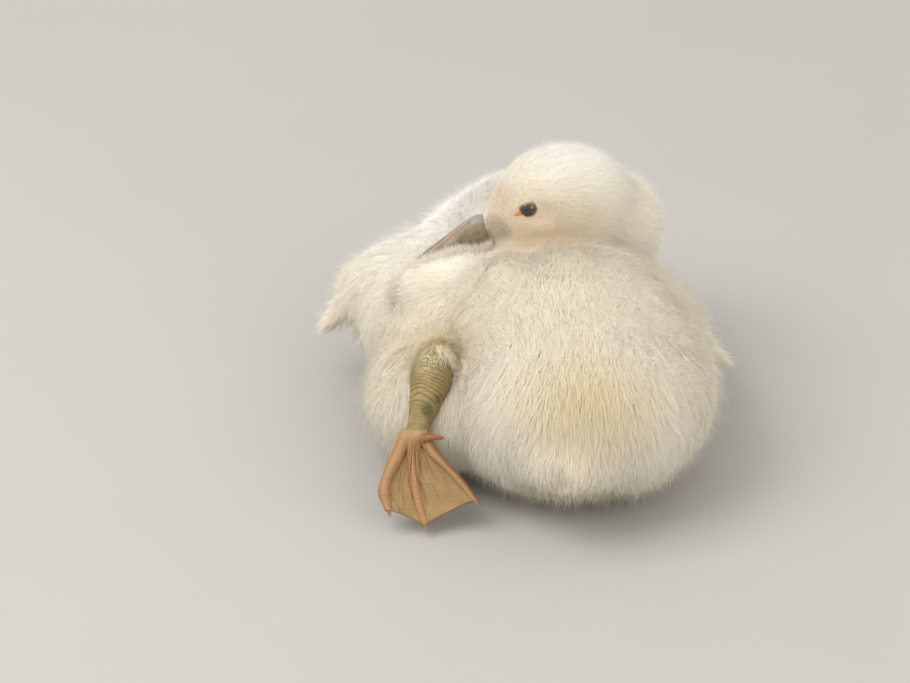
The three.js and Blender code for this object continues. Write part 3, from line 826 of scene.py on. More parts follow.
BARE_PATHS = (  # round the shanks, where they leave the down: points, and how wide the bare way is
    (((-47, -9, 57), (-48, -13, 55), (-50.5, -21, 49), (-55, -36, 38)), (6.0, 7.6, 6.4, 5.6)),
    (((60, 8, 8.5), (62, 24, 6.5), (62, 42, 4.4)), (5.6, 5.6, 5.6)),
)
BARE_EYE = (3.95, 3.2)  # no down within this of the middle of an eye, ahead and upwards
BARE_BILL = 0.97  # nor within this share of the bill's own width
SWIRL_WAVES = 7
WIDE_SWIRL, FINE_SWIRL = 26, 7  # sizes of the waves in the lie of the down
USUAL_LENGTH = 10  # shorter tufts than this stand closer together
UNDERNEATH = 0.6  # what faces down by more than this has fewer tufts


def skin_arrays(skin):
    """The skin's triangles as arrays: corner points and normals in millimetres, the lie, the corners of the
    triangles and their map places. A normal is the field's slope, or the mesh's own where these differ."""
    mesh = skin.data
    mesh.calc_loop_triangles()
    points = numbers_of(mesh.vertices, "co", 3) * 1000 - SHIFT
    normals = unit(slope_of(skin_field, points))
    own = numbers_of(mesh.vertex_normals, "vector", 3)
    apart = np.clip((0.98 - (own * normals).sum(1, keepdims=True)) / 0.1, 0, 1)
    normals = unit(normals * (1 - apart) + own * apart)
    places = numbers_of(mesh.uv_layers[BAKE_MAP].uv, "vector", 2)
    corners, loops = (numbers_of(mesh.loop_triangles, name, 3, np.int32) for name in ("vertices", "loops"))
    return points, normals, lie_at(points), corners, places[loops]


def swirl(points, random, scale):
    """A smooth random direction at each point: a sum of sine waves in random directions."""
    total = np.zeros_like(points)
    for _ in range(SWIRL_WAVES):
        wave = random.normal(size=3) / scale
        amount = random.normal(size=3)
        total += np.sin(points @ wave * 2 + random.uniform(0, 2 * np.pi))[:, None] * amount
    return total / np.sqrt(SWIRL_WAVES)


def bare_at(roots):
    """True where a root would stand on bare skin: at an eye, in its bare corner, inside the bill or on a
    shank."""
    bare = bill_share(roots) < BARE_BILL
    for side in EYES:
        ahead, up, out = in_eye(roots, side)
        at_eye = np.hypot(ahead / BARE_EYE[0], up / BARE_EYE[1]) < 1
        bare |= (out > -3) & (at_eye | (off_corner(ahead, up) > 0))
    for path, widths in BARE_PATHS:
        bare |= chain(path, widths, 2)(roots) < 0
    return bare


def scattered(arrays, count, random):
    """Roots spread over the skin, denser where tufts are short: places, normals, lies, map places and the
    piece that each belongs to."""
    points, normals, lies, triangles, places = arrays
    corners = points[triangles]
    area = np.linalg.norm(np.cross(corners[:, 1] - corners[:, 0], corners[:, 2] - corners[:, 0]), axis=1) / 2
    middle = corners.mean(1)
    length = lies[triangles][..., 4].mean(1)
    down_facing = np.clip(-normals[triangles][..., 2].mean(1) - UNDERNEATH, 0, 0.4) * 2
    weight = area * (USUAL_LENGTH / length) ** 1.05 * (1 - down_facing)
    total = np.cumsum(weight)
    draws = (np.arange(count) + random.uniform(size=count)) / count * total[-1]
    chosen = np.minimum(np.searchsorted(total, draws), len(total) - 1)
    a, b = random.uniform(size=(2, count))
    over = a + b > 1
    a, b = np.where(over, 1 - a, a), np.where(over, 1 - b, b)
    share = np.stack([1 - a - b, a, b], 1)[..., None]
    own = triangles[chosen]
    piece = LIE_INDEX[off_lie(middle).argmin(1)][chosen]
    return tuple((values * share).sum(1) for values in (
        points[own], normals[own], lies[own], places[chosen])) + (piece,)


STRAYS = 0.17  # share of the long tufts that stand away from the rest
FRINGE = 2.4  # down stands up over the bill within this many times its own half width
FRINGE_SHARE = 0.4  # of the tufts there
FRINGE_LENGTH = (5.0, 8.0)
FRINGE_WIDTH = 0.34  # the least width of their tufts
LOCK = 4.6  # width of the locks that tips lean into
FACE_LENGTH, BODY_LENGTH = 2, 10  # tufts of these lengths are wholly the face's and wholly the body's
LENGTH_SPREAD, RISE_SPREAD, CURL_SPREAD = 0.16, 0.11, 0.14  # how much tufts differ from one another
CROSSED = 0.72  # lies whose mean is shorter than this cross one another
ROOT_DEEP = 0.35  # how far a root lies under the skin
HALF_CLEAR, TIP_CLEAR = 0.12, 0.3  # the least that a tuft's middle and its tip stand off the skin
FLOOR_CLEAR = 0.25  # and off the floor
THICK = 0.00044  # the thickness in metres that the widths below are for


def tuft_points(roots, normals, lies, settings, random, wide):
    """Five points for each tuft, a ribbon that ends in a point: two at the root, two half way and the tip.
    It leaves the skin along the lie, rises by the angle whose sine is depth over length, and its tip bends
    on. Also the soft normals at the five points."""
    count = len(roots)
    depth, whole = lies[:, 3], lies[:, 4]
    length = whole * np.clip(random.normal(1.0, LENGTH_SPREAD, count), 0.55, 1.5)
    body = np.clip((whole - FACE_LENGTH) / (BODY_LENGTH - FACE_LENGTH), 0, 1)
    stray = random.uniform(size=count) < STRAYS * np.clip(body * 2.5, 0, 1)
    length = np.where(stray, length * 1.1, length)
    # the down beside the bill stands up over its side
    away = roots - BILL_BASE
    fringe = np.clip((FRINGE - bill_share(roots)) / 0.5, 0, 1) * (away @ LEFT > 0) * (away @ FORWARD > 2)
    fringe = fringe * (random.uniform(size=count) < FRINGE_SHARE)
    length = length + (random.uniform(*FRINGE_LENGTH, count) - length) * fringe
    wander = swirl(roots, random, WIDE_SWIRL) * (0.20 * body + 0.08)[:, None]
    wander = wander + swirl(roots, random, FINE_SWIRL) * (0.12 * body + 0.08)[:, None]
    wander = (wander / 0.2 + random.normal(size=(count, 3))) * settings.spread
    # where the lies of neighbours cross, tufts stand up and point every way
    crossed = np.clip(CROSSED - np.linalg.norm(lies[:, :3], axis=1), 0, 0.6)
    wander = wander + random.normal(size=(count, 3)) * crossed[:, None]
    lie = lies[:, :3] + wander
    lie = unit(lie - (lie * normals).sum(1, keepdims=True) * normals)
    rise = np.arcsin(np.clip(depth / whole * settings.stand * 0.92, 0.10, 0.92))
    rise = rise * np.clip(random.normal(1.0, RISE_SPREAD, count), 0.5, 1.6)
    rise = rise + np.where(stray, random.uniform(0.2, 1.0, count), 0)
    rise = np.clip(rise + crossed * 1.1, 0.05, 1.35)
    lifting = unit(UP + 0.12 * LEFT + random.normal(size=(count, 3)) * 0.2)

    def way(angle, curl=0):
        """Directions at an angle over the skin along the lie, or upwards in the fringe."""
        over_skin = lie * np.cos(angle)[:, None] + normals * np.sin(angle)[:, None] + curl
        return unit(over_skin * (1 - fringe[:, None]) + lifting * fringe[:, None])

    start = way(np.minimum(rise * 1.2, 1.4))
    curl = np.cross(normals, lie) * random.normal(0, CURL_SPREAD, count)[:, None]
    end = way(rise * random.normal(0.8, CURL_SPREAD, count), curl)
    # tips lean towards the middle of their lock
    cell = np.floor(roots / LOCK)
    middle = (cell + 0.5) * LOCK + np.sin(cell[:, [1, 2, 0]] * 12.9 + cell[:, [2, 0, 1]] * 78.2) * 1.3
    pull = middle - roots
    pull -= (pull * normals).sum(1, keepdims=True) * normals
    pull = pull * (0.035 * body)[:, None]

    def clear(points, least):
        """Points pushed out along the normals to a least distance from the skin."""
        return points + normals * np.maximum(least - skin_field(points), 0)[:, None]

    base = roots - normals * ROOT_DEEP
    half = clear(base + start * (length * 0.5)[:, None] + pull * 0.35, HALF_CLEAR)
    tip = clear(half + end * (length * 0.5)[:, None] + pull * 0.65, TIP_CLEAR)
    facing = unit(np.cross(start, normals))
    roll = random.normal(0, 0.3, count)[:, None]
    broad = facing * np.cos(roll) + np.cross(facing, start) * np.sin(roll)
    width = (0.16 + 0.28 * (whole / 11)) * settings.thickness / THICK * wide
    width = width * random.uniform(0.75, 1.25, count) * np.where(stray, 0.65, 1)
    width = np.where(fringe > 0.5, np.maximum(width, FRINGE_WIDTH), width)
    reach = broad * (width / 2)[:, None]
    points = np.stack([base - reach, base + reach, half - reach * 0.8, half + reach * 0.8, tip], 1)
    points[..., 2] = np.maximum(points[..., 2], FLOOR_CLEAR)
    soft = unit(normals + random.normal(size=(count, 3)) * (0.13 - 0.06 * body)[:, None])
    tilt = np.array([0.0, 0.0, 0.12, 0.12, 0.2])[None, :, None]
    return points, unit(soft[:, None] + lie[:, None] * tilt)


TUFT_CORNERS = ((0, 1, 3, 2), (2, 3, 4))
PATCH = 0.003  # width of a tuft's patch of the map, about its root's place
TUFT_PATCH = np.array([[0, 0], [1, 0], [0.1, 0.6], [0.9, 0.6], [0.5, 1]]) * PATCH - PATCH / 2
TUFT_REACH = (0.0, 0.0, 0.55, 0.55, 1.0)  # from its root to its tip


def make_coat(settings, skin):
    """Every piece of the coat, as ribbons over the skin."""
    random = np.random.default_rng(settings.seed)
    share = 1.0
    wide = 1 / share ** 0.5
    roots, normals, lies, places, owner = scattered(skin_arrays(skin), int(settings.tufts * share), random)
    normals = unit(normals)
    clear = ~bare_at(roots)
    material = down_material(settings, True)
    for index, name in enumerate(LIE_PIECES):
        own = clear & (owner == index)
        points, soft = tuft_points(roots[own], normals[own], lies[own], settings, random, wide)
        count = len(points)
        corner = np.arange(count)[:, None] * 5
        corners = np.hstack([corner + [face] for face in TUFT_CORNERS]).ravel()
        places_in_metres = placed(points).reshape(-1, 3)
        mesh = new_mesh(f"coat_{name}", places_in_metres, corners, np.tile([4, 3], count), material)
        layer = mesh.uv_layers.new(name=BAKE_MAP)
        map_places = (places[own][:, None] + TUFT_PATCH).reshape(-1, 2)[corners]
        layer.uv.foreach_set("vector", map_places.astype(np.float32).ravel())
        tones = np.repeat(random.normal(0.99, 0.012, count).clip(0.95, 1.0), 5)
        mesh.normals_split_custom_set_from_vertices(soft.reshape(-1, 3).astype(np.float32))
        kept(with_values(shown(mesh), {"reach": np.tile(TUFT_REACH, count), "tone": tones}), "down")


# ---------- eyes and lids

BALL_RADIUS = 4.5  # the ball shows less than its whole width
BALL_DEEP = 2.0  # how far its middle lies behind that of the eye
LID_OPEN = 3.6  # half the eye's opening, front to back
LID_UPPER, LID_LOWER = 2.7, 2.95  # and from its middle up and down
LID_HEM = 4.7  # how far the lids reach, under the down
LID_THICK = 0.0004  # in metres
LID_DEEP = 0.62  # how far under the down's surface they meet the skin
LID_SINK = 0.8  # how far their inner edge goes in behind the opening, and their outer one under the skin
CORNER_TURN = -0.17  # the way to the bare corner in front of the eye, turned up by this many radians
CORNER_START, CORNER_END = 3.0, 7.9  # how far from the middle of the eye it begins and ends
CORNER_HALF = 1.7  # half its width where it begins
CORNER_SPREAD = 0.45  # in radians: how far round the eye the lids reach further, for the corner
CORNER_HEM = 0.9  # how far past the corner's end they then reach
LID_UNDER = 0.7  # how much further in the lids lie than the skin they meet
CORNER_RISE = 1.0  # and how far the corner's bare skin stands over that
LID_TO_SKIN = 0.9  # how far from the opening they have left the ball
LID_RIM, LID_RIM_HALF, LID_RIM_HEIGHT = 0.24, 0.2, 0.2  # the rim's distance from the opening, and its sizes
HEM_START, HEM_PART = 0.82, 0.18  # shares of a lid's width: where it begins to sink in, and what is left
HEM_REACH = 1.3  # how far from the opening the hem's value is one


def eye_axes(side):
    """The way an eye looks, and the directions to its front and top."""
    sign = 1 if side == "left" else -1
    look = unit(FORWARD * 0.28 + LEFT * sign * 0.92 + UP * 0.26)
    front = unit(FORWARD - (FORWARD @ look) * look)
    return look, front, unit(np.cross(front, look) * sign)


def eyeball(side):
    """A ball as a grid of angles, its poles at the pupil and behind."""
    look, front, top = eye_axes(side)
    far = np.linspace(0.03, np.pi - 0.03, 40)[:, None, None]
    turn = np.linspace(0, 2 * np.pi, 64, endpoint=False)[None, :, None]
    away = look * np.cos(far) + (front * np.cos(turn) + top * np.sin(turn)) * np.sin(far)
    return capped(EYES[side] - look * BALL_DEEP + BALL_RADIUS * away)


def in_eye(points, side):
    """Distances of points from the middle of an eye: towards its front, its top and the way it looks."""
    look, front, top = eye_axes(side)
    away = points - EYES[side]
    return away @ front, away @ top, away @ look


def off_corner(ahead, up):
    """How far a place in the eye's plane lies inside the edge of the bare corner: a wedge whose half width
    falls evenly to nothing at its end."""
    far = ahead * np.cos(CORNER_TURN) + up * np.sin(CORNER_TURN)
    off = np.abs(up * np.cos(CORNER_TURN) - ahead * np.sin(CORNER_TURN))
    half = CORNER_HALF * (CORNER_END - far) / (CORNER_END - CORNER_START)
    return np.where(far > CORNER_START - 1.5, np.minimum(half, CORNER_HALF * 1.1) - off, -9.0)


def lids(side):
    """A ring round the eye: from inside its opening on the ball, over a rounded rim, out to the skin, where
    it sinks in at its hem. The opening is an ellipse with a flatter upper half. Ahead of the eye the ring
    reaches further and holds the bare corner, a shallow wedge."""
    look, front, top = eye_axes(side)
    turn = np.linspace(0, 2 * np.pi, 180, endpoint=False)
    off = np.angle(np.exp(1j * (turn - CORNER_TURN)))
    high = np.where(np.sin(turn) > 0, LID_UPPER, LID_LOWER)
    opening = 1 / np.hypot(np.cos(turn) / LID_OPEN, np.sin(turn) / high)
    hem = LID_HEM + (CORNER_END + CORNER_HEM - LID_HEM) * np.exp(-((off / CORNER_SPREAD) ** 2))
    share = np.linspace(0, 1, 36)[:, None]
    far = opening + (hem - opening) * share ** 1.2
    ahead, up = far * np.cos(turn), far * np.sin(turn)
    flat = EYES[side] + ahead[..., None] * front + up[..., None] * top
    on_ball = np.sqrt(np.maximum((BALL_RADIUS + 0.04) ** 2 - far ** 2, 0.0)) - BALL_DEEP
    skin = slid((flat + look * 2).reshape(-1, 3), lambda p: bird_field(p) + LID_DEEP, 6).reshape(flat.shape)
    on_skin = (skin - EYES[side]) @ look
    settle = np.clip((far - opening) / LID_TO_SKIN, 0, 1)
    settle = settle * settle * (3 - 2 * settle)
    corner = np.clip(off_corner(ahead, up) / 0.3 + 0.4, 0, 1)
    on_skin = on_skin - LID_UNDER + corner * CORNER_RISE
    rim = np.exp(-(((far - opening - LID_RIM) / LID_RIM_HALF) ** 2)) * LID_RIM_HEIGHT * (1 - corner)
    out = on_ball * (1 - settle) + on_skin * settle + rim - corner * 0.15 * settle
    out = np.where(far < BALL_RADIUS, np.maximum(out, on_ball + 0.05), out)
    out = out - np.clip((share - HEM_START) / HEM_PART, 0, 1) ** 2 * LID_SINK
    sheet = flat + look * out[..., None]
    inner = sheet[:1] - look * LID_SINK
    hems = (far - opening) / HEM_REACH
    return np.concatenate([inner, sheet]), np.vstack([corner[:1], corner]), np.vstack([hems[:1], hems])


def eye_material(bare):
    """Wet eye: a black pupil, a dark brown iris, finely mottled, and a clear coat over both."""
    material, place = new_material("eye")
    pupils = [EYES[side] + eye_axes(side)[0] * (BALL_RADIUS - BALL_DEEP) for side in EYES]
    left, right = (place.vector("DISTANCE", place, tuple(placed(pupil)), output=1) for pupil in pupils)
    far = left.sums("MINIMUM", left, right)
    colour = place.noise(1400.0, 3.0, 0.7).shades(bare.iris, 0.25, 0.7)
    colour = colour.mixed(PUPIL, far.step(0.0019, 0.0022, 1.0, 0.0))
    colour = colour.mixed(EYE_DARK, far.step(0.0034, 0.0040, 0.0, 0.9))
    colour.surface(0.12, None, {"Coat Weight": 1.0, "Coat Roughness": 0.02, "IOR": 1.38}).ends()
    return material


def lid_material(bare, down):
    """Lids: a dull rim, bare skin in front of the eye and, at the hem, the down's colour darkened as painted
    shade.
    """
    material, place = new_material("lid")
    fine = place.noise(2600.0)
    corner, share = place.value("corner"), place.value("hem")
    # painted shade: the hem, where the lids go under the down, is the down's beige at half brightness
    colour = share.step(0.4, 0.8).between(rgba(bare.rim), rgba(down.beige, 0.5))
    colour = colour.mixed(bare.corner, share.step(0.02, 0.11, 0.9, 0.0), 0.22)
    colour = colour.mixed(bare.corner, corner.step(0.05, 0.4))
    colour = colour.mixed(bare.rim, fine.step(0.5, 0.75) * 0.45, 0.6)
    colour.surface(0.5, fine.bump(0.5, 0.0001)).ends()
    return material


def make_eyes(bare, down):
    """Both eyeballs as pieces of their own, and the lids of each, a sheet that closes on itself."""
    eye, lid = eye_material(bare), lid_material(bare, down)
    for side in EYES:
        kept(closed_piece(f"eyeball_{side}", *eyeball(side), eye), "eye", f"eye_{side}")
        grid, corner, hem = lids(side)
        sheet = [lattice(*grid.shape[:2], True)]
        ring = facing_out(mesh_piece(f"lids_{side}", placed(grid.reshape(-1, 3)), sheet, lid), EYES[side])
        thicker = ring.modifiers.new("Thickness", "SOLIDIFY")
        thicker.thickness = LID_THICK
        thicker.offset = -1
        kept(with_values(ring, {"corner": corner, "hem": np.broadcast_to(hem, corner.shape)}), "down")


def facing_out(piece, centre):
    """Turns an open sheet over if most of it faces a centre."""
    rows = piece.data.polygons
    away = numbers_of(rows, "center", 3) - placed(centre)
    if (numbers_of(rows, "normal", 3) * away).sum() < 0:
        piece.data.flip_normals()
    return piece


# ---------- bill

BILL_LENGTH = float(np.linalg.norm(np.subtract(BILL_TIP, BILL_BASE)))
BILL_START = -4.0  # how far from its base it begins, under the down
BILL_HALF_WIDTHS = (7.4, 6.9, 6.5, 6.6, 7.0, 6.2, 2.8)
BILL_TOPS = (8.6, 10.4, 10.0, 7.8, 5.3, 3.1, 0.9)
BILL_BOTTOMS = (5.4, 4.8, 3.9, 3.2, 2.6, 1.9, 0.8)
KNOB, NOSTRIL = 3.6, 15.5  # how far ahead of the base their middles are
NAIL = 2.4  # and how far the nail's is short of the tip
KNOB_REACH, NOSTRIL_REACH, NAIL_REACH = 3.4, 2.6, 3.0  # how far they run each way along the bill
KNOB_HEIGHT, RIDGE_HEIGHT, RIM_HEIGHT, NAIL_HEIGHT = 0.8, 0.16, 0.16, 0.55
RIDGE_END = 36
RIDGE_HALF, NAIL_HALF = 0.9, 3.6  # half their widths
NOSTRIL_SIDE, NOSTRIL_NARROW = 0.80, 0.08  # its place and width round the bill, as cosines
NOSTRIL_DOWN, NOSTRIL_IN = 0.65, 0.75
RIM_PLACE, RIM_NARROW = 0.10, 0.07  # its place and width up the side, as sines
HOOK_REACH, HOOK_DROP = 3.0, 0.9  # the tip bends down


def bill_share(points):
    """Where points lie in the bill's cross-section: nothing on its middle line and one on its surface."""
    away = points - BILL_BASE
    ahead, aside, above = away @ FORWARD, away @ LEFT, away @ UP
    share = np.clip((ahead - BILL_START) / (BILL_LENGTH - BILL_START), 0, 1)
    height = np.where(above > 0, along(BILL_TOPS, share), along(BILL_BOTTOMS, share))
    inside = (ahead > BILL_START) & (ahead < BILL_LENGTH)
    return np.where(inside, np.hypot(aside / along(BILL_HALF_WIDTHS, share), above / height), 9.0)


def bill_grid(heights, sign, rows=110, columns=72):
    """Half of the bill, the upper one with sign 1 and the lower one with -1: for each step forward a closed
    ring, an arch of the given height over a shallow floor. The arch follows powers of sine and cosine that
    make its ridge rounder towards the tip."""
    share = np.linspace(0, 1, rows)
    share = 1 - (1 - share) ** 1.3
    tip = np.sqrt(np.clip(1 - ((share - 0.93) / 0.07).clip(0, 1) ** 2, 0.0004, 1))
    width = (along(BILL_HALF_WIDTHS, share) - (0.5 if sign < 0 else 0)) * tip
    height = along(heights, share) * (0.35 + 0.65 * tip)
    angle = 2 * np.pi * np.arange(columns) / columns
    arch = np.sin(angle)
    peaked = np.interp(share, (0, 0.5, 1), (1.3, 1.15, 0.85))[:, None]
    above = np.where(arch > 0, np.abs(arch) ** peaked, -0.10 * np.abs(arch) ** 0.6)
    aside = np.sign(np.cos(angle)) * np.abs(np.cos(angle)) ** 0.86
    forward = BILL_START + share * (BILL_LENGTH + 0.3 - BILL_START)
    up = sign * (height[:, None] * above + 0.10)
    out = width[:, None] * aside[None]
    ahead = np.broadcast_to(forward[:, None], up.shape).copy()
    return ahead, out, up, angle


def bill_upper_points():
    """The upper half, with its rounded ridge, the small knob at the forehead, the nostrils as slanting
    hollows, the rim along the cutting edge, and the nail as a raised oval at the tip."""
    ahead, out, up, angle = bill_grid(BILL_TOPS, 1)
    top = np.clip(np.sin(angle), 0, 1)[None]
    knob = np.exp(-(((ahead - KNOB) / KNOB_REACH) ** 4)) * top ** 4 * KNOB_HEIGHT
    ridge = np.exp(-((out / RIDGE_HALF) ** 2)) * top * RIDGE_HEIGHT * (ahead < RIDGE_END)
    off_side = (np.abs(np.cos(angle))[None] - NOSTRIL_SIDE) / NOSTRIL_NARROW
    nostril = np.exp(-(((ahead - NOSTRIL) / NOSTRIL_REACH) ** 2) - off_side ** 2)
    nail = np.exp(-(((ahead - BILL_LENGTH + NAIL) / NAIL_REACH) ** 4) - ((out / NAIL_HALF) ** 4))
    nail = nail * NAIL_HEIGHT * (top > 0)
    rim = np.exp(-((top - RIM_PLACE) / RIM_NARROW) ** 2) * RIM_HEIGHT
    up = up + (knob + ridge + nail) * (top > 0) - nostril * NOSTRIL_DOWN * (top > 0)
    out = out * (1 + rim / 6) - np.sign(out) * nostril * NOSTRIL_IN * (top > 0)
    hook = np.clip((ahead - BILL_LENGTH + HOOK_REACH) / HOOK_REACH, 0, 1) ** 2 * HOOK_DROP
    return on_bill(ahead, out, up - hook), {"nostril": nostril * (top > 0), "nail": nail}


def on_bill(ahead, out, up):
    """Points of the bill from their distances ahead of its base, to its left and up."""
    return BILL_BASE + ahead[..., None] * FORWARD + out[..., None] * LEFT + up[..., None] * UP


def bill_material(bare, lower):
    """Bill: grey-brown horn, lighter and pinkish along the ridge as a painted highlight, blue-grey at the
    knob, with faint growth lines.
    """
    material, place = new_material("lower bill" if lower else "bill")
    away = place.vector("SUBTRACT", place, tuple(placed(BILL_BASE)))
    ahead, aside, above = (
        away.vector("DOT_PRODUCT", away, tuple(way), output=1) for way in (FORWARD, LEFT, UP))
    aside = aside.sums("ABSOLUTE", aside)
    cloud = place.noise(260.0)
    fine = place.noise(1500.0, 3.0, 0.65)
    colour = cloud.step(0.35, 0.7).shades(bare.bill, 1.0, 0.68)
    colour = colour.mixed(bare.bill, aside.step(0.0035, 0.0072) * 0.45, 0.5)
    if not lower:
        # painted highlight: a lighter pinkish line along the ridge
        ridge = aside.step(0.0, 0.0012, 1.0, 0.0)
        colour = colour.mixed(bare.culmen_highlight, ridge * ahead.step(0.005, 0.009) * (cloud * 0.5 + 0.4))
        uneven = (cloud - 0.5) * 0.0022
        knob = (ahead + uneven).step(0.0058, 0.0080, 1.0, 0.0)
        knob = knob * (above + uneven - ahead * 0.18).step(0.0082, 0.0098)
        colour = colour.mixed(bare.base, knob * (cloud * 0.5 + 0.6))
        # painted shade: the nostril's hollow painted dark
        colour = colour.mixed(NOSTRIL_SHADE, place.value("nostril").step(0.35, 0.8) * 0.6)
        colour = colour.mixed(bare.nail, place.value("nail").step(0.1, 0.3) * 0.9)
    height = fine + place.bands("X", 520.0, 6.0, 2.0, 2.0) * 0.35
    colour.surface(cloud.step(0.3, 0.7, 0.36, 0.5), height.bump(0.35, 0.00012)).ends()
    return material


def make_bill(bare):
    """The two halves of the bill. The upper one stands for the nail too."""
    grid, values = bill_upper_points()
    values = {name: np.append(np.broadcast_to(some, grid.shape[:2]), (0, 0)) for name, some in values.items()}
    upper = closed_piece("bill_top", *capped(grid), bill_material(bare, False), values)
    kept(upper, "bill", "bill_upper", "bill_nail")
    ahead, out, up, _ = bill_grid(BILL_BOTTOMS, -1)
    grid = on_bill(ahead - 0.4, out, up)
    kept(closed_piece("bill_under", *capped(grid), bill_material(bare, True)), "bill", "bill_lower")


# ---------- legs and feet

BALLS = {"left": (-55, -36, 38), "right": (62, 42, 4.4)}
SHANKS = {
    "left": (((-44, 8, 50), (-46, -3, 59), (-48, -11.5, 55.5), (-50.5, -21, 49), (-53, -29, 42.5),
              (-55, -34.7, 37.2), (-55.1, -37.4, 34.4)), (5.0, 6.0, 9.4, 7.2, 5.2, 4.4, 2.2)),
    "right": (((57, 0, 10), (59, 5, 9), (60.5, 12, 7.8), (61.5, 20, 6.8), (62, 31, 5.4), (62, 42, 4.5),
               (61.8, 46, 4.1)), (6, 7.2, 7.2, 6.2, 5.0, 4.6, 2.6)),
}
FOOT_ALONG = {"left": (3, -23, -37.4), "right": (-0.06, 1, -0.07)}
FOOT_OUTER = {"left": (-1, 0, 0), "right": (1, 0, 0)}
SOLE = {"left": 1, "right": -1}
SPREAD = {"left": 1.0, "right": 0.45}
TOES = {
    2: ((-5, 7, 18, 29), (-1.6, -8.6, -18, -26), (4.0, 2.9, 2.3, 1.6)),
    3: ((-5, 13, 27, 39), (0, 1, 0, -3), (4.6, 2.7, 2.1, 1.6)),
    4: ((-5, 8, 21, 31), (1.6, 8.6, 14.6, 13), (4.2, 3.2, 2.7, 1.9)),
}
HALLUXES = {
    "left": ((-51, -38, 40), (-46, -38.5, 41.2), (-41.5, -38.5, 41)),
    "right": ((55.4, 35, 4.4), (52.4, 31, 3.2), (49.6, 27, 2.2)),
}
CLAW_LIFTS = {2: 0.5, 3: 0.5, 4: 2.2}
CLAW_LENGTH = 4.6
WEB_HALF = 0.5  # half the web's thickness
TOE_PADS, PAD_SWELL = 2.6, 0.08  # pads along a toe, and the share by which they swell it
TOE_MELT = 1.6  # how wide toes and web run into one another
WEB_SHORT = 0.03  # the web's edge falls short of a line between the toes' ends by this share
FOOT_LENGTH = 34  # along its inner toe
WEB_EDGE, TOE_EDGE = 0.9, 1.7  # how far from its end each begins to thin
HEEL_PART = 0.13  # share of the foot's length that thins towards the ball
TOE_FOLD = 0.07  # depth of the folds across the toes
BILLOW, RUMPLE = 0.9, 0.35  # how far the web hangs between the toes, and how far it waves
CURL_START, CURL_PART = 0.78, 0.22  # shares of the foot's length: where its end begins to curl, and the rest
OUTER_TOE = 0.8  # past here across the foot, the end curls further
OUTER_CURL, INNER_CURL = 2.2, 0.5
SHANK_FOLDS = 38
FOLD_HEIGHT = 1.1
FOLD_RISE, FOLD_DROP = 0.72, 0.28  # shares of a fold's length
FOLD_STRENGTH = (  # places down the shank, and the folds' strength there
    (0.1, 0.25, 0.5, 0.64, 0.8, 0.92, 1.0), (0.6, 1.0, 0.9, 0.25, 0.2, 0.3, 0.0))
GROOVE_WAY, GROOVE_HALF = 1.7, 0.3  # where round the shank it runs, and half its width, in radians
GROOVE_DEEP = 0.35
GROOVE_STRENGTH = ((0.5, 0.7, 1.0), (0, 1, 0.4))  # places down the shank, and its strength there
FOOT_LINES = np.array([0.0, 0.075, 0.5, 0.925, 1.0])  # where across the foot the toes' and edges' lines run
CREASES = (  # place across the foot, width, depth, and where down the foot it starts and stops
    (0.17, 0.012, 0.30, 0.20, 0.9), (0.24, 0.016, 0.42, 0.10, 0.75), (0.31, 0.012, 0.34, 0.25, 0.95),
    (0.375, 0.014, 0.45, 0.05, 0.62), (0.435, 0.012, 0.75, 0.06, 0.86), (0.465, 0.01, 0.5, 0.1, 0.6),
    (0.56, 0.012, 0.75, 0.06, 0.9), (0.61, 0.013, 0.42, 0.1, 0.7), (0.68, 0.014, 0.40, 0.3, 0.95),
    (0.745, 0.014, 0.42, 0.12, 0.8), (0.82, 0.014, 0.36, 0.3, 0.92))


def foot_plane(side):
    """The directions along a foot, to its outer side and out of its sole."""
    along_foot = unit(FOOT_ALONG[side])
    outer = np.asarray(FOOT_OUTER[side], float)
    outer = unit(outer - (outer @ along_foot) * along_foot)
    return along_foot, outer, np.cross(outer, along_foot) * SOLE[side]


def on_foot(side, far, sideways, lift):
    """Points of a foot from their distances along it, to its outer side and out of its sole."""
    along_foot, outer, sole = foot_plane(side)
    return (np.asarray(BALLS[side], float) + far[..., None] * along_foot
            + sideways[..., None] * outer + lift[..., None] * sole)


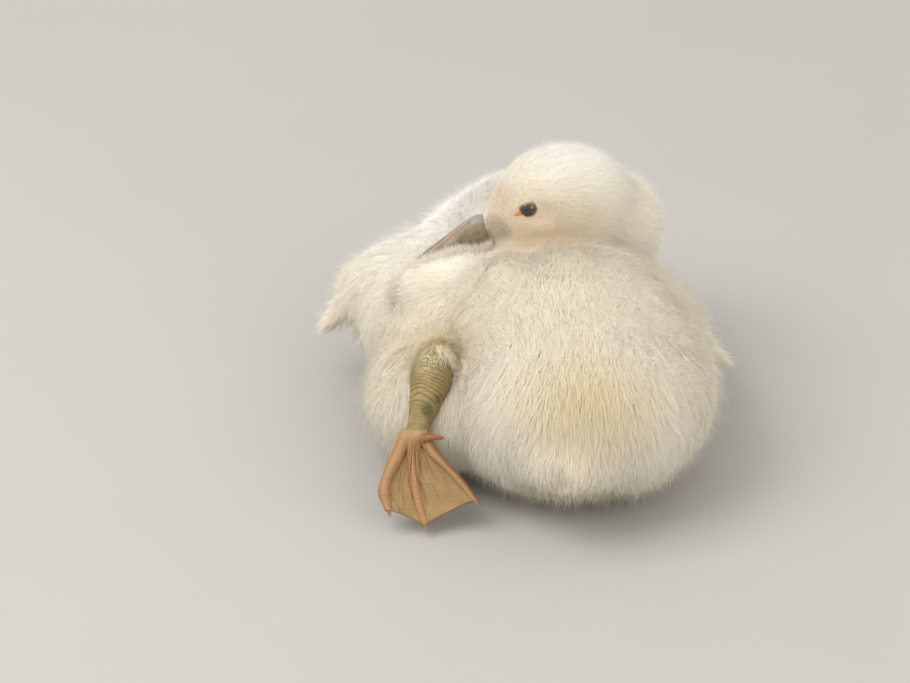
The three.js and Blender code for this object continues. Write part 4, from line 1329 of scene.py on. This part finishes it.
def foot_sheet(side, rows=120, columns=168):
    """The toes and webs as one closed sheet. Across it runs u, from the outer edge of toe 2 to that of toe
    4, and along it v, from the ball to the toes' ends. The middle follows the toes' lines; the half
    thickness is that of a round toe near a line and of the web elsewhere, and falls to nothing on a
    quarter circle at every edge."""
    v = np.linspace(0, 1, rows)
    u = (1 - np.cos(np.pi * np.linspace(0, 1, columns))) / 2
    u = 0.35 * u + 0.65 * np.linspace(0, 1, columns)
    far, wide, radius = {}, {}, {}
    for digit, (toe_along, toe_side, radii) in TOES.items():
        far[digit] = along(toe_along, v)
        wide[digit] = along(toe_side, v) * SPREAD[side]
        pads = 1 + PAD_SWELL * np.cos(2 * np.pi * v * TOE_PADS) * np.clip(v * 4, 0, 1)
        radius[digit] = along(radii, v) * pads
    lines_far = np.stack([far[2], far[2], far[3], far[4], far[4]], 1)
    lines_wide = np.stack([wide[2] - radius[2], wide[2], wide[3], wide[4], wide[4] + radius[4]], 1)
    place = np.clip(np.searchsorted(FOOT_LINES, u, side="right") - 1, 0, 3)
    share = ((u - FOOT_LINES[place]) / (FOOT_LINES[place + 1] - FOOT_LINES[place]))[None]
    web = ((place == 1) | (place == 2))[None]
    middling = 4 * share * (1 - share)
    reach = np.where(web, 1 - WEB_SHORT * middling ** 0.3, 1.0) * v[:, None]

    def carried(lines):
        """Values of the two neighbouring lines at the reach, mixed by share."""
        spot = reach * (rows - 1)
        low = np.clip(spot.astype(int), 0, rows - 2)
        part = spot - low

        def at(index):
            values = lines[:, index]
            column = np.arange(columns)[None]
            return values[low, column] * (1 - part) + values[low + 1, column] * part

        return at(place) * (1 - share) + at(place + 1) * share

    ahead, aside = carried(lines_far), carried(lines_wide)
    half = np.full(ahead.shape, WEB_HALF)
    ridge = np.zeros_like(half)
    for digit in TOES:
        toe_wide = np.interp(ahead.ravel(), far[digit], wide[digit]).reshape(ahead.shape)
        toe_radius = np.interp(ahead.ravel(), far[digit], radius[digit]).reshape(ahead.shape)
        over = np.clip(1 - ((aside - toe_wide) / toe_radius) ** 2, 0, 1)
        round_toe = toe_radius * np.sqrt(over)
        half = -melt(-half, -round_toe, TOE_MELT)
        ridge = np.maximum(ridge, over)
    edge_u = np.clip(np.minimum(u, 1 - u)[None] / FOOT_LINES[1], 0, 1)
    rim = np.sqrt(1 - (1 - edge_u) ** 2)
    tip = np.where(web, WEB_EDGE, TOE_EDGE) / FOOT_LENGTH
    edge_v = np.clip((1 - v[:, None]) / tip, 0, 1)
    rim = rim * np.sqrt(1 - (1 - edge_v) ** 2)
    heel = np.clip(v[:, None] / HEEL_PART, 0, 1)
    half = half * rim * np.sqrt(1 - (1 - heel) ** 2)
    # creases that fan out from the ball, and folds across the toes at their joints
    fan = np.zeros_like(half)
    for centre, width, depth, start, stop in CREASES:
        fade = np.clip((v - start) / 0.1, 0, 1) * np.clip((stop - v) / 0.15, 0, 1)
        bent = u[None] - centre - 0.012 * np.sin(v * 9 + centre * 40)[:, None]
        fan = fan + depth * fade[:, None] * np.exp(-((bent / width) ** 2))
    folds = ridge * TOE_FOLD * np.cos(v[:, None] * 95 + 2 * np.sin(u * 9)[None])
    folds = folds * np.clip(v[:, None] * 5, 0, 1)
    billow = np.where(web, -BILLOW * np.sin(np.pi * np.clip(share, 0, 1)) * v[:, None] ** 1.5, 0.0)
    rumple = RUMPLE * np.sin(v[:, None] * 13 + u[None] * 21) * np.where(web, middling, 0)
    curl = np.clip((v[:, None] - CURL_START) / CURL_PART, 0, 1) ** 2
    curl = curl * np.where(u[None] > OUTER_TOE, OUTER_CURL, INNER_CURL)
    middle = billow + rumple * v[:, None] + curl
    cut = (fan + folds * 0.6) * np.minimum(rim, half / 0.5)
    sole = on_foot(side, ahead, aside, middle + half * 1.05 - cut)
    back = on_foot(side, ahead, aside, middle - half * 0.9 - folds * 0.8 * rim)
    return sole, back, u, v, ridge, fan


def foot_points(side):
    """Sole and back of the foot welded along their common edge, which gives one closed sheet."""
    sole, back, u, v, ridge, fan = foot_sheet(side)
    rows, columns = sole.shape[:2]
    index = np.arange(rows * columns).reshape(rows, columns)
    edge = np.ones((rows, columns), bool)
    edge[1:-1, 1:-1] = False
    under = index.copy()
    under[~edge] = rows * columns + np.arange((~edge).sum())
    sole = np.where(edge[..., None], (sole + back) / 2, sole)
    points = np.vstack([sole.reshape(-1, 3), back[~edge]])
    bottom = np.stack([under[:-1, :-1], under[1:, :-1], under[1:, 1:], under[:-1, 1:]], -1).reshape(-1, 4)
    values = {"across": u[None] + 0 * fan, "down_foot": v[:, None] + 0 * fan, "ridge": ridge, "crease": fan}
    values = {name: np.append(grid, grid[~edge]) for name, grid in values.items()}
    values["sole"] = np.append(np.ones(rows * columns), np.zeros((~edge).sum()))
    return points, [lattice(rows, columns), bottom], values


def shank_points(side, rows=210, columns=72):
    """The shank along its path: rounded folds across its upper half that overlap like a stocking's and arch
    up towards its front, fading to fine rings lower down, and a shallow groove up its outer side. A fold
    rises evenly over most of its length and drops steeply at its end."""
    path_points, radii = SHANKS[side]
    share = np.linspace(0.04, 1.0, rows)
    path = spline(path_points, share)
    angle = 2 * np.pi * np.arange(columns) / columns
    radius = along(radii, share)[:, None] * np.ones((1, columns))
    count = share[:, None] * SHANK_FOLDS + 0.5 * np.sin(share * 31)[:, None] + 0.9 * np.cos(angle + 1.1)[None]
    count = count + 0.13 * np.sin(angle * 3 + share[:, None] * 25) + 0.08 * np.sin(angle * 5 + 1)[None]
    part = count % 1.0
    fold = np.clip(part / FOLD_RISE, 0, 1) ** 0.7 * np.clip((1 - part) / FOLD_DROP, 0, 1) ** 0.8
    strong = np.interp(share, *FOLD_STRENGTH)[:, None]
    facing = 0.62 + 0.38 * np.cos(angle - 0.9)[None]
    radius = radius + (fold - 0.5) * strong * facing * FOLD_HEIGHT
    groove = np.exp(-((np.abs(np.angle(np.exp(1j * (angle[None] - GROOVE_WAY)))) / GROOVE_HALF) ** 2))
    radius = radius - GROOVE_DEEP * groove * np.interp(share, *GROOVE_STRENGTH)[:, None]
    end = np.sqrt(np.clip(1 - ((share - 0.9) / 0.1).clip(0, 1) ** 2, 0.01, 1))[:, None]
    points, faces = tube(path, foot_plane(side)[1], radius * end, radius * end * 1.02)
    down_leg = np.broadcast_to(share[:, None], radius.shape)
    fold = np.append(fold * (strong * facing) ** 0.5, (0, 0))
    return points, faces, {"fold": fold, "down_leg": np.append(down_leg, (0.04, 1))}


def hallux_points(side, rows=40, columns=28):
    """The hind toe: a short tube that narrows to a small claw."""
    share = np.linspace(0, 1, rows)
    radius = np.interp(share, (0, 0.2, 0.5, 0.8, 1), (2.4, 1.7, 1.25, 0.95, 0.12))
    radius = radius + 0.05 * np.cos(share * 60) * (share < 0.75)
    return tube(spline(HALLUXES[side], share), (0, 0, 1), radius[:, None] * np.ones((1, columns)))


def claw_points(side, digit, rows=26, columns=24):
    """A claw: a cone that carries on from the toe's end and bends to the sole, a little flattened."""
    toe_along, toe_side, _ = TOES[digit]
    shares = np.array([0.93, 1.0])
    ends = on_foot(side, along(toe_along, shares), along(toe_side, shares) * SPREAD[side], np.zeros(2))
    forward = unit(ends[1] - ends[0])
    _, outer, sole = foot_plane(side)
    share = np.linspace(0, 1, rows)
    path = (ends[1] + sole * CLAW_LIFTS[digit] * 0.9 + (share[:, None] * CLAW_LENGTH - 1.8) * forward
            + sole * (1.5 * share[:, None] ** 2))
    radius = np.interp(share, (0, 0.25, 0.7, 1), (1.4, 1.3, 0.75, 0.12))[:, None] * np.ones((1, columns))
    return tube(path, outer, radius, radius * 0.85)


def leg_material(bare):
    """Shank: olive horn in fine scales, darker brown in the hollows of the folds as painted shade, lighter on
    their crests as painted highlight, with two green stains from the ground.
    """
    material, place = new_material("shank")
    cloud = place.noise(180.0)
    fine = place.noise(1800.0)
    scales = place.cells(820.0, 0.8)
    fold, down_leg = place.value("fold"), place.value("down_leg")
    colour = cloud.step(0.3, 0.7).shades(bare.shank, 1.0, 0.72)
    upper = down_leg.step(0.5, 0.68, 1.0, 0.2)
    # painted shade: the hollows between the folds darker brown
    colour = colour.mixed(bare.fold, fold.step(0.05, 0.34, 0.9, 0.0) * upper)
    # painted highlight: the crests of the folds lighter
    colour = colour.mixed(bare.ring, fold.step(0.5, 0.85) * upper * cloud.step(0.35, 0.6, 0.25, 0.7))
    flake = place.near((-50, -12, 63), (7, 6, 6)) * fine.step(0.52, 0.62)
    colour = colour.mixed(srgb(*DRY_FLAKE), flake * 0.8)
    colour = colour.mixed(bare.fold, scales.step(0.0, 0.12, 0.35, 0.0), 0.8)
    colour = colour.mixed(bare.shank, fine.step(0.55, 0.75) * 0.4, 1.3)
    colour = colour.mixed(bare.web, down_leg.step(0.76, 0.9) * 0.75)
    for centre, radii, share in (((-49.8, -28.8, 49.0), (2.6, 2.6, 3.0), 0.95),
                                 ((-45.8, -23.8, 51.6), (2.0, 2.4, 2.4), 0.9)):
        spot = place.near(centre, radii, 0.4) * fine.step(0.38, 0.55)
        colour = colour.mixed(srgb(*GREEN_DIRT), spot * share)
    height = fine * 0.5 + scales.step(0.0, 0.12)
    colour.surface(cloud.step(0.3, 0.7, 0.48, 0.66), height.bump(0.5, 0.00022)).ends()
    return material


def web_material(bare):
    """Foot: tan leathery skin, redder on the pads, orange-brown in creases and at the edges."""
    material, place = new_material("web")
    cloud = place.noise(150.0)
    fine = place.noise(1300.0, 4.0, 0.65)
    cells = place.cells(900.0, 1.0)
    ridge, crease, sole, across, down_foot = (
        place.value(name) for name in ("ridge", "crease", "sole", "across", "down_foot"))
    colour = cloud.step(0.3, 0.7).shades(bare.web, 1.0, 0.84)
    colour = colour.mixed(bare.pad, ridge.step(0.1, 0.6) * 0.7)
    foot_of_ridge = ridge.step(0.0, 0.10) * ridge.step(0.14, 0.42, 1.0, 0.0)
    colour = colour.mixed(bare.edge, foot_of_ridge * 0.55, 1.1)
    colour = colour.mixed(bare.edge, crease.step(0.08, 0.45) * 0.5)
    side = across.step(0.0, 0.055, 0.9, 0.0) + across.step(0.955, 1.0, 0.0, 0.55)
    edge = side + down_foot.step(0.965, 0.995) * (1 - ridge) * 0.7
    colour = colour.mixed(bare.edge, edge.node("ShaderNodeClamp", None, {0: edge}))
    colour = colour.mixed(bare.shank, (1 - sole) * 0.7, 0.85)
    colour = colour.mixed(bare.web, cells.step(0.0, 0.1, 0.22, 0.0), 0.62)
    colour = colour.mixed(bare.shank, fine.step(0.55, 0.8) * 0.25)
    wrinkles = place.bands("Z", 190.0, 7.0, 3.0, 2.5)
    colour = colour.mixed(bare.web, wrinkles.step(0.0, 0.3, 0.14, 0.0), 0.7)
    colour = colour.mixed(bare.shank, down_foot.step(0.02, 0.14, 0.7, 0.0))
    height = fine * 0.6 + cells.step(0.0, 0.12) + wrinkles.step(0.0, 0.5) * 0.8
    colour.surface(cloud.step(0.3, 0.7, 0.45, 0.6), height.bump(0.5, 0.00022), {
        "Subsurface Weight": 0.08, "Subsurface Radius": (0.002, 0.0008, 0.0004)}).ends()
    return material


def horn_material(name, colour, share, scale, roughness, bump):
    """Horn with fine streaks in a darker or lighter shade of its colour."""
    material, place = new_material(name)
    streaks = place.noise(scale)
    streaked = streaks.step(0.3, 0.7).shades(colour, 1.0, share)
    streaked.surface(roughness, streaks.bump(*bump)).ends()
    return material


def make_legs(bare):
    """Both shanks and hind toes."""
    material = leg_material(bare)
    hind = horn_material("hind toe", bare.edge, 0.6, 1500.0, 0.5, (0.4, 0.00015))
    for side in BALLS:
        points, faces, values = shank_points(side)
        kept(closed_piece(f"shank_{side}", points, faces, material, values), "leg", f"tarsus_{side}")
        kept(closed_piece(f"hind_toe_{side}", *hallux_points(side), hind), "leg", f"hallux_{side}")


def make_feet(bare):
    """Both webbed feet and their claws."""
    material = web_material(bare)
    horn = horn_material("claw", bare.claw, 1.7, 900.0, 0.35, (0.3, 0.0001))
    for side in BALLS:
        points, faces, values = foot_points(side)
        kept(closed_piece(f"web_{side}", points, faces, material, values), "web", f"foot_{side}")
        for digit in TOES:
            claw = closed_piece(f"horn_{side}_{digit}", *claw_points(side, digit), horn)
            kept(claw, "claw", f"claw_{side}_{digit}")


# ---------- stage

LIGHT_AIM = (0, 0, 0.05)  # in metres
FLOOR_HALF = 4  # in metres
CAMERA_FAR = 1500.0  # from the bird's origin
CAMERA_HEIGHT = np.radians(35.0)
AIM_RIGHT, AIM_UP = -39.1, 56.35  # how far across and up in the camera's view it aims off the bird's origin


def area_light(name, place, size, power, colour):
    """A square soft light at a place in metres, turned to the middle of the bird."""
    data = bpy.data.lights.new(name, "AREA")
    data.size = size
    data.energy = power
    data.color = colour
    linked(name, data, place, LIGHT_AIM)


def linked(name, data, place, aim):
    """Puts a light or a camera at a place, looking at its aim, both in metres."""
    piece = bpy.data.objects.new(name, data)
    piece.location = place
    piece.rotation_euler = (Vector(aim) - Vector(place)).to_track_quat("-Z", "Y").to_euler()
    bpy.context.scene.collection.objects.link(piece)
    return piece


def make_stage(stage):
    """A plain pale floor, soft lights, an even sky and the camera."""
    material, place = new_material("floor")
    colour = place.noise(6.0, 3.0, 0.5).shades(stage.floor, 0.97, 1.03)
    colour.surface(0.9).ends()
    across = np.linspace(-FLOOR_HALF, FLOOR_HALF, 9)
    grid = np.stack(np.meshgrid(across, across, [0.0], indexing="xy"), -1).reshape(-1, 3)
    mesh_piece("floor", grid, [lattice(9, 9)], material)
    area_light("key", (-0.85, -0.35, 1.25), 1.0, stage.key, (1.0, 0.985, 0.955))
    area_light("fill", (0.95, -0.75, 0.7), 1.1, stage.fill, (1.0, 0.96, 0.90))
    scene = bpy.context.scene
    scene.world = bpy.data.worlds.new("sky")
    scene.world.use_nodes = True
    sky = scene.world.node_tree.nodes["Background"].inputs
    sky[0].default_value = (1.0, 0.99, 0.97, 1)
    sky[1].default_value = stage.sky
    scene.view_settings.view_transform = "Standard"
    middle = placed((0, 0, 0))
    back = np.array([0, -np.cos(CAMERA_HEIGHT), np.sin(CAMERA_HEIGHT)])
    up = np.array([0, np.sin(CAMERA_HEIGHT), np.cos(CAMERA_HEIGHT)])
    aim = middle + np.array([AIM_RIGHT, 0, 0]) * 0.001 + up * AIM_UP * 0.001
    data = bpy.data.cameras.new("camera")
    data.lens = stage.lens
    data.sensor_width = 36
    scene.camera = linked("camera", data, middle + back * CAMERA_FAR * 0.001, aim)


# ---------- operators


class CYGNET_OT_skin(bpy.types.Operator):
    """Makes the skin under the down"""

    bl_idname = "cygnet.skin"
    bl_label = "Skin"

    def execute(self, context):
        kept(make_skin(context.scene.cygnet_down), "down", *FLESH)
        return {"FINISHED"}


class CYGNET_OT_coat(bpy.types.Operator):
    """Makes the down as tufts over the skin"""

    bl_idname = "cygnet.coat"
    bl_label = "Coat"

    def execute(self, context):
        skin = bpy.data.objects.get("skin")
        if skin is None:
            raise RuntimeError("the coat needs the skin: make that first")
        make_coat(context.scene.cygnet_down, skin)
        return {"FINISHED"}


class CYGNET_OT_eyes(bpy.types.Operator):
    """Makes the eyes and their lids"""

    bl_idname = "cygnet.eyes"
    bl_label = "Eyes"

    def execute(self, context):
        make_eyes(context.scene.cygnet_bare, context.scene.cygnet_down)
        return {"FINISHED"}


class CYGNET_OT_bill(bpy.types.Operator):
    """Makes both halves of the bill"""

    bl_idname = "cygnet.bill"
    bl_label = "Bill"

    def execute(self, context):
        make_bill(context.scene.cygnet_bare)
        return {"FINISHED"}


class CYGNET_OT_legs(bpy.types.Operator):
    """Makes the shanks and hind toes"""

    bl_idname = "cygnet.legs"
    bl_label = "Legs"

    def execute(self, context):
        make_legs(context.scene.cygnet_bare)
        return {"FINISHED"}


class CYGNET_OT_feet(bpy.types.Operator):
    """Makes the webbed feet and claws"""

    bl_idname = "cygnet.feet"
    bl_label = "Feet"

    def execute(self, context):
        make_feet(context.scene.cygnet_bare)
        return {"FINISHED"}


class CYGNET_OT_stage(bpy.types.Operator):
    """Makes the floor, the lights and the camera"""

    bl_idname = "cygnet.stage"
    bl_label = "Stage"

    def execute(self, context):
        make_stage(context.scene.cygnet_stage)
        return {"FINISHED"}


OPERATORS = (CYGNET_OT_stage, CYGNET_OT_skin, CYGNET_OT_coat, CYGNET_OT_eyes, CYGNET_OT_bill, CYGNET_OT_legs,
             CYGNET_OT_feet)
GROUPS = {"cygnet_down": CygnetDown, "cygnet_bare": CygnetBare, "cygnet_stage": CygnetStage}


class CYGNET_PT_build(bpy.types.Panel):
    """Lists the settings and the steps"""

    bl_label = "Cygnet"
    bl_idname = "CYGNET_PT_build"
    bl_space_type = "VIEW_3D"
    bl_region_type = "UI"
    bl_category = "Cygnet"

    def draw(self, context):
        for name, group in GROUPS.items():
            box = self.layout.box()
            for setting in group.__annotations__:
                box.prop(getattr(context.scene, name), setting)
        for operator in OPERATORS:
            self.layout.operator(operator.bl_idname)


def register():
    for group in GROUPS.values():
        bpy.utils.register_class(group)
    for operator in OPERATORS:
        bpy.utils.register_class(operator)
    bpy.utils.register_class(CYGNET_PT_build)
    for name, group in GROUPS.items():
        setattr(bpy.types.Scene, name, bpy.props.PointerProperty(type=group))


def unregister():
    for name in GROUPS:
        delattr(bpy.types.Scene, name)
    bpy.utils.unregister_class(CYGNET_PT_build)
    for kind in (*reversed(OPERATORS), *reversed(list(GROUPS.values()))):
        bpy.utils.unregister_class(kind)


def main():
    """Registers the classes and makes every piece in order."""
    register()
    bpy.ops.cygnet.stage()
    bpy.ops.cygnet.skin()
    bpy.ops.cygnet.coat()
    bpy.ops.cygnet.eyes()
    bpy.ops.cygnet.bill()
    bpy.ops.cygnet.legs()
    bpy.ops.cygnet.feet()


if __name__ == "__main__":
    main()
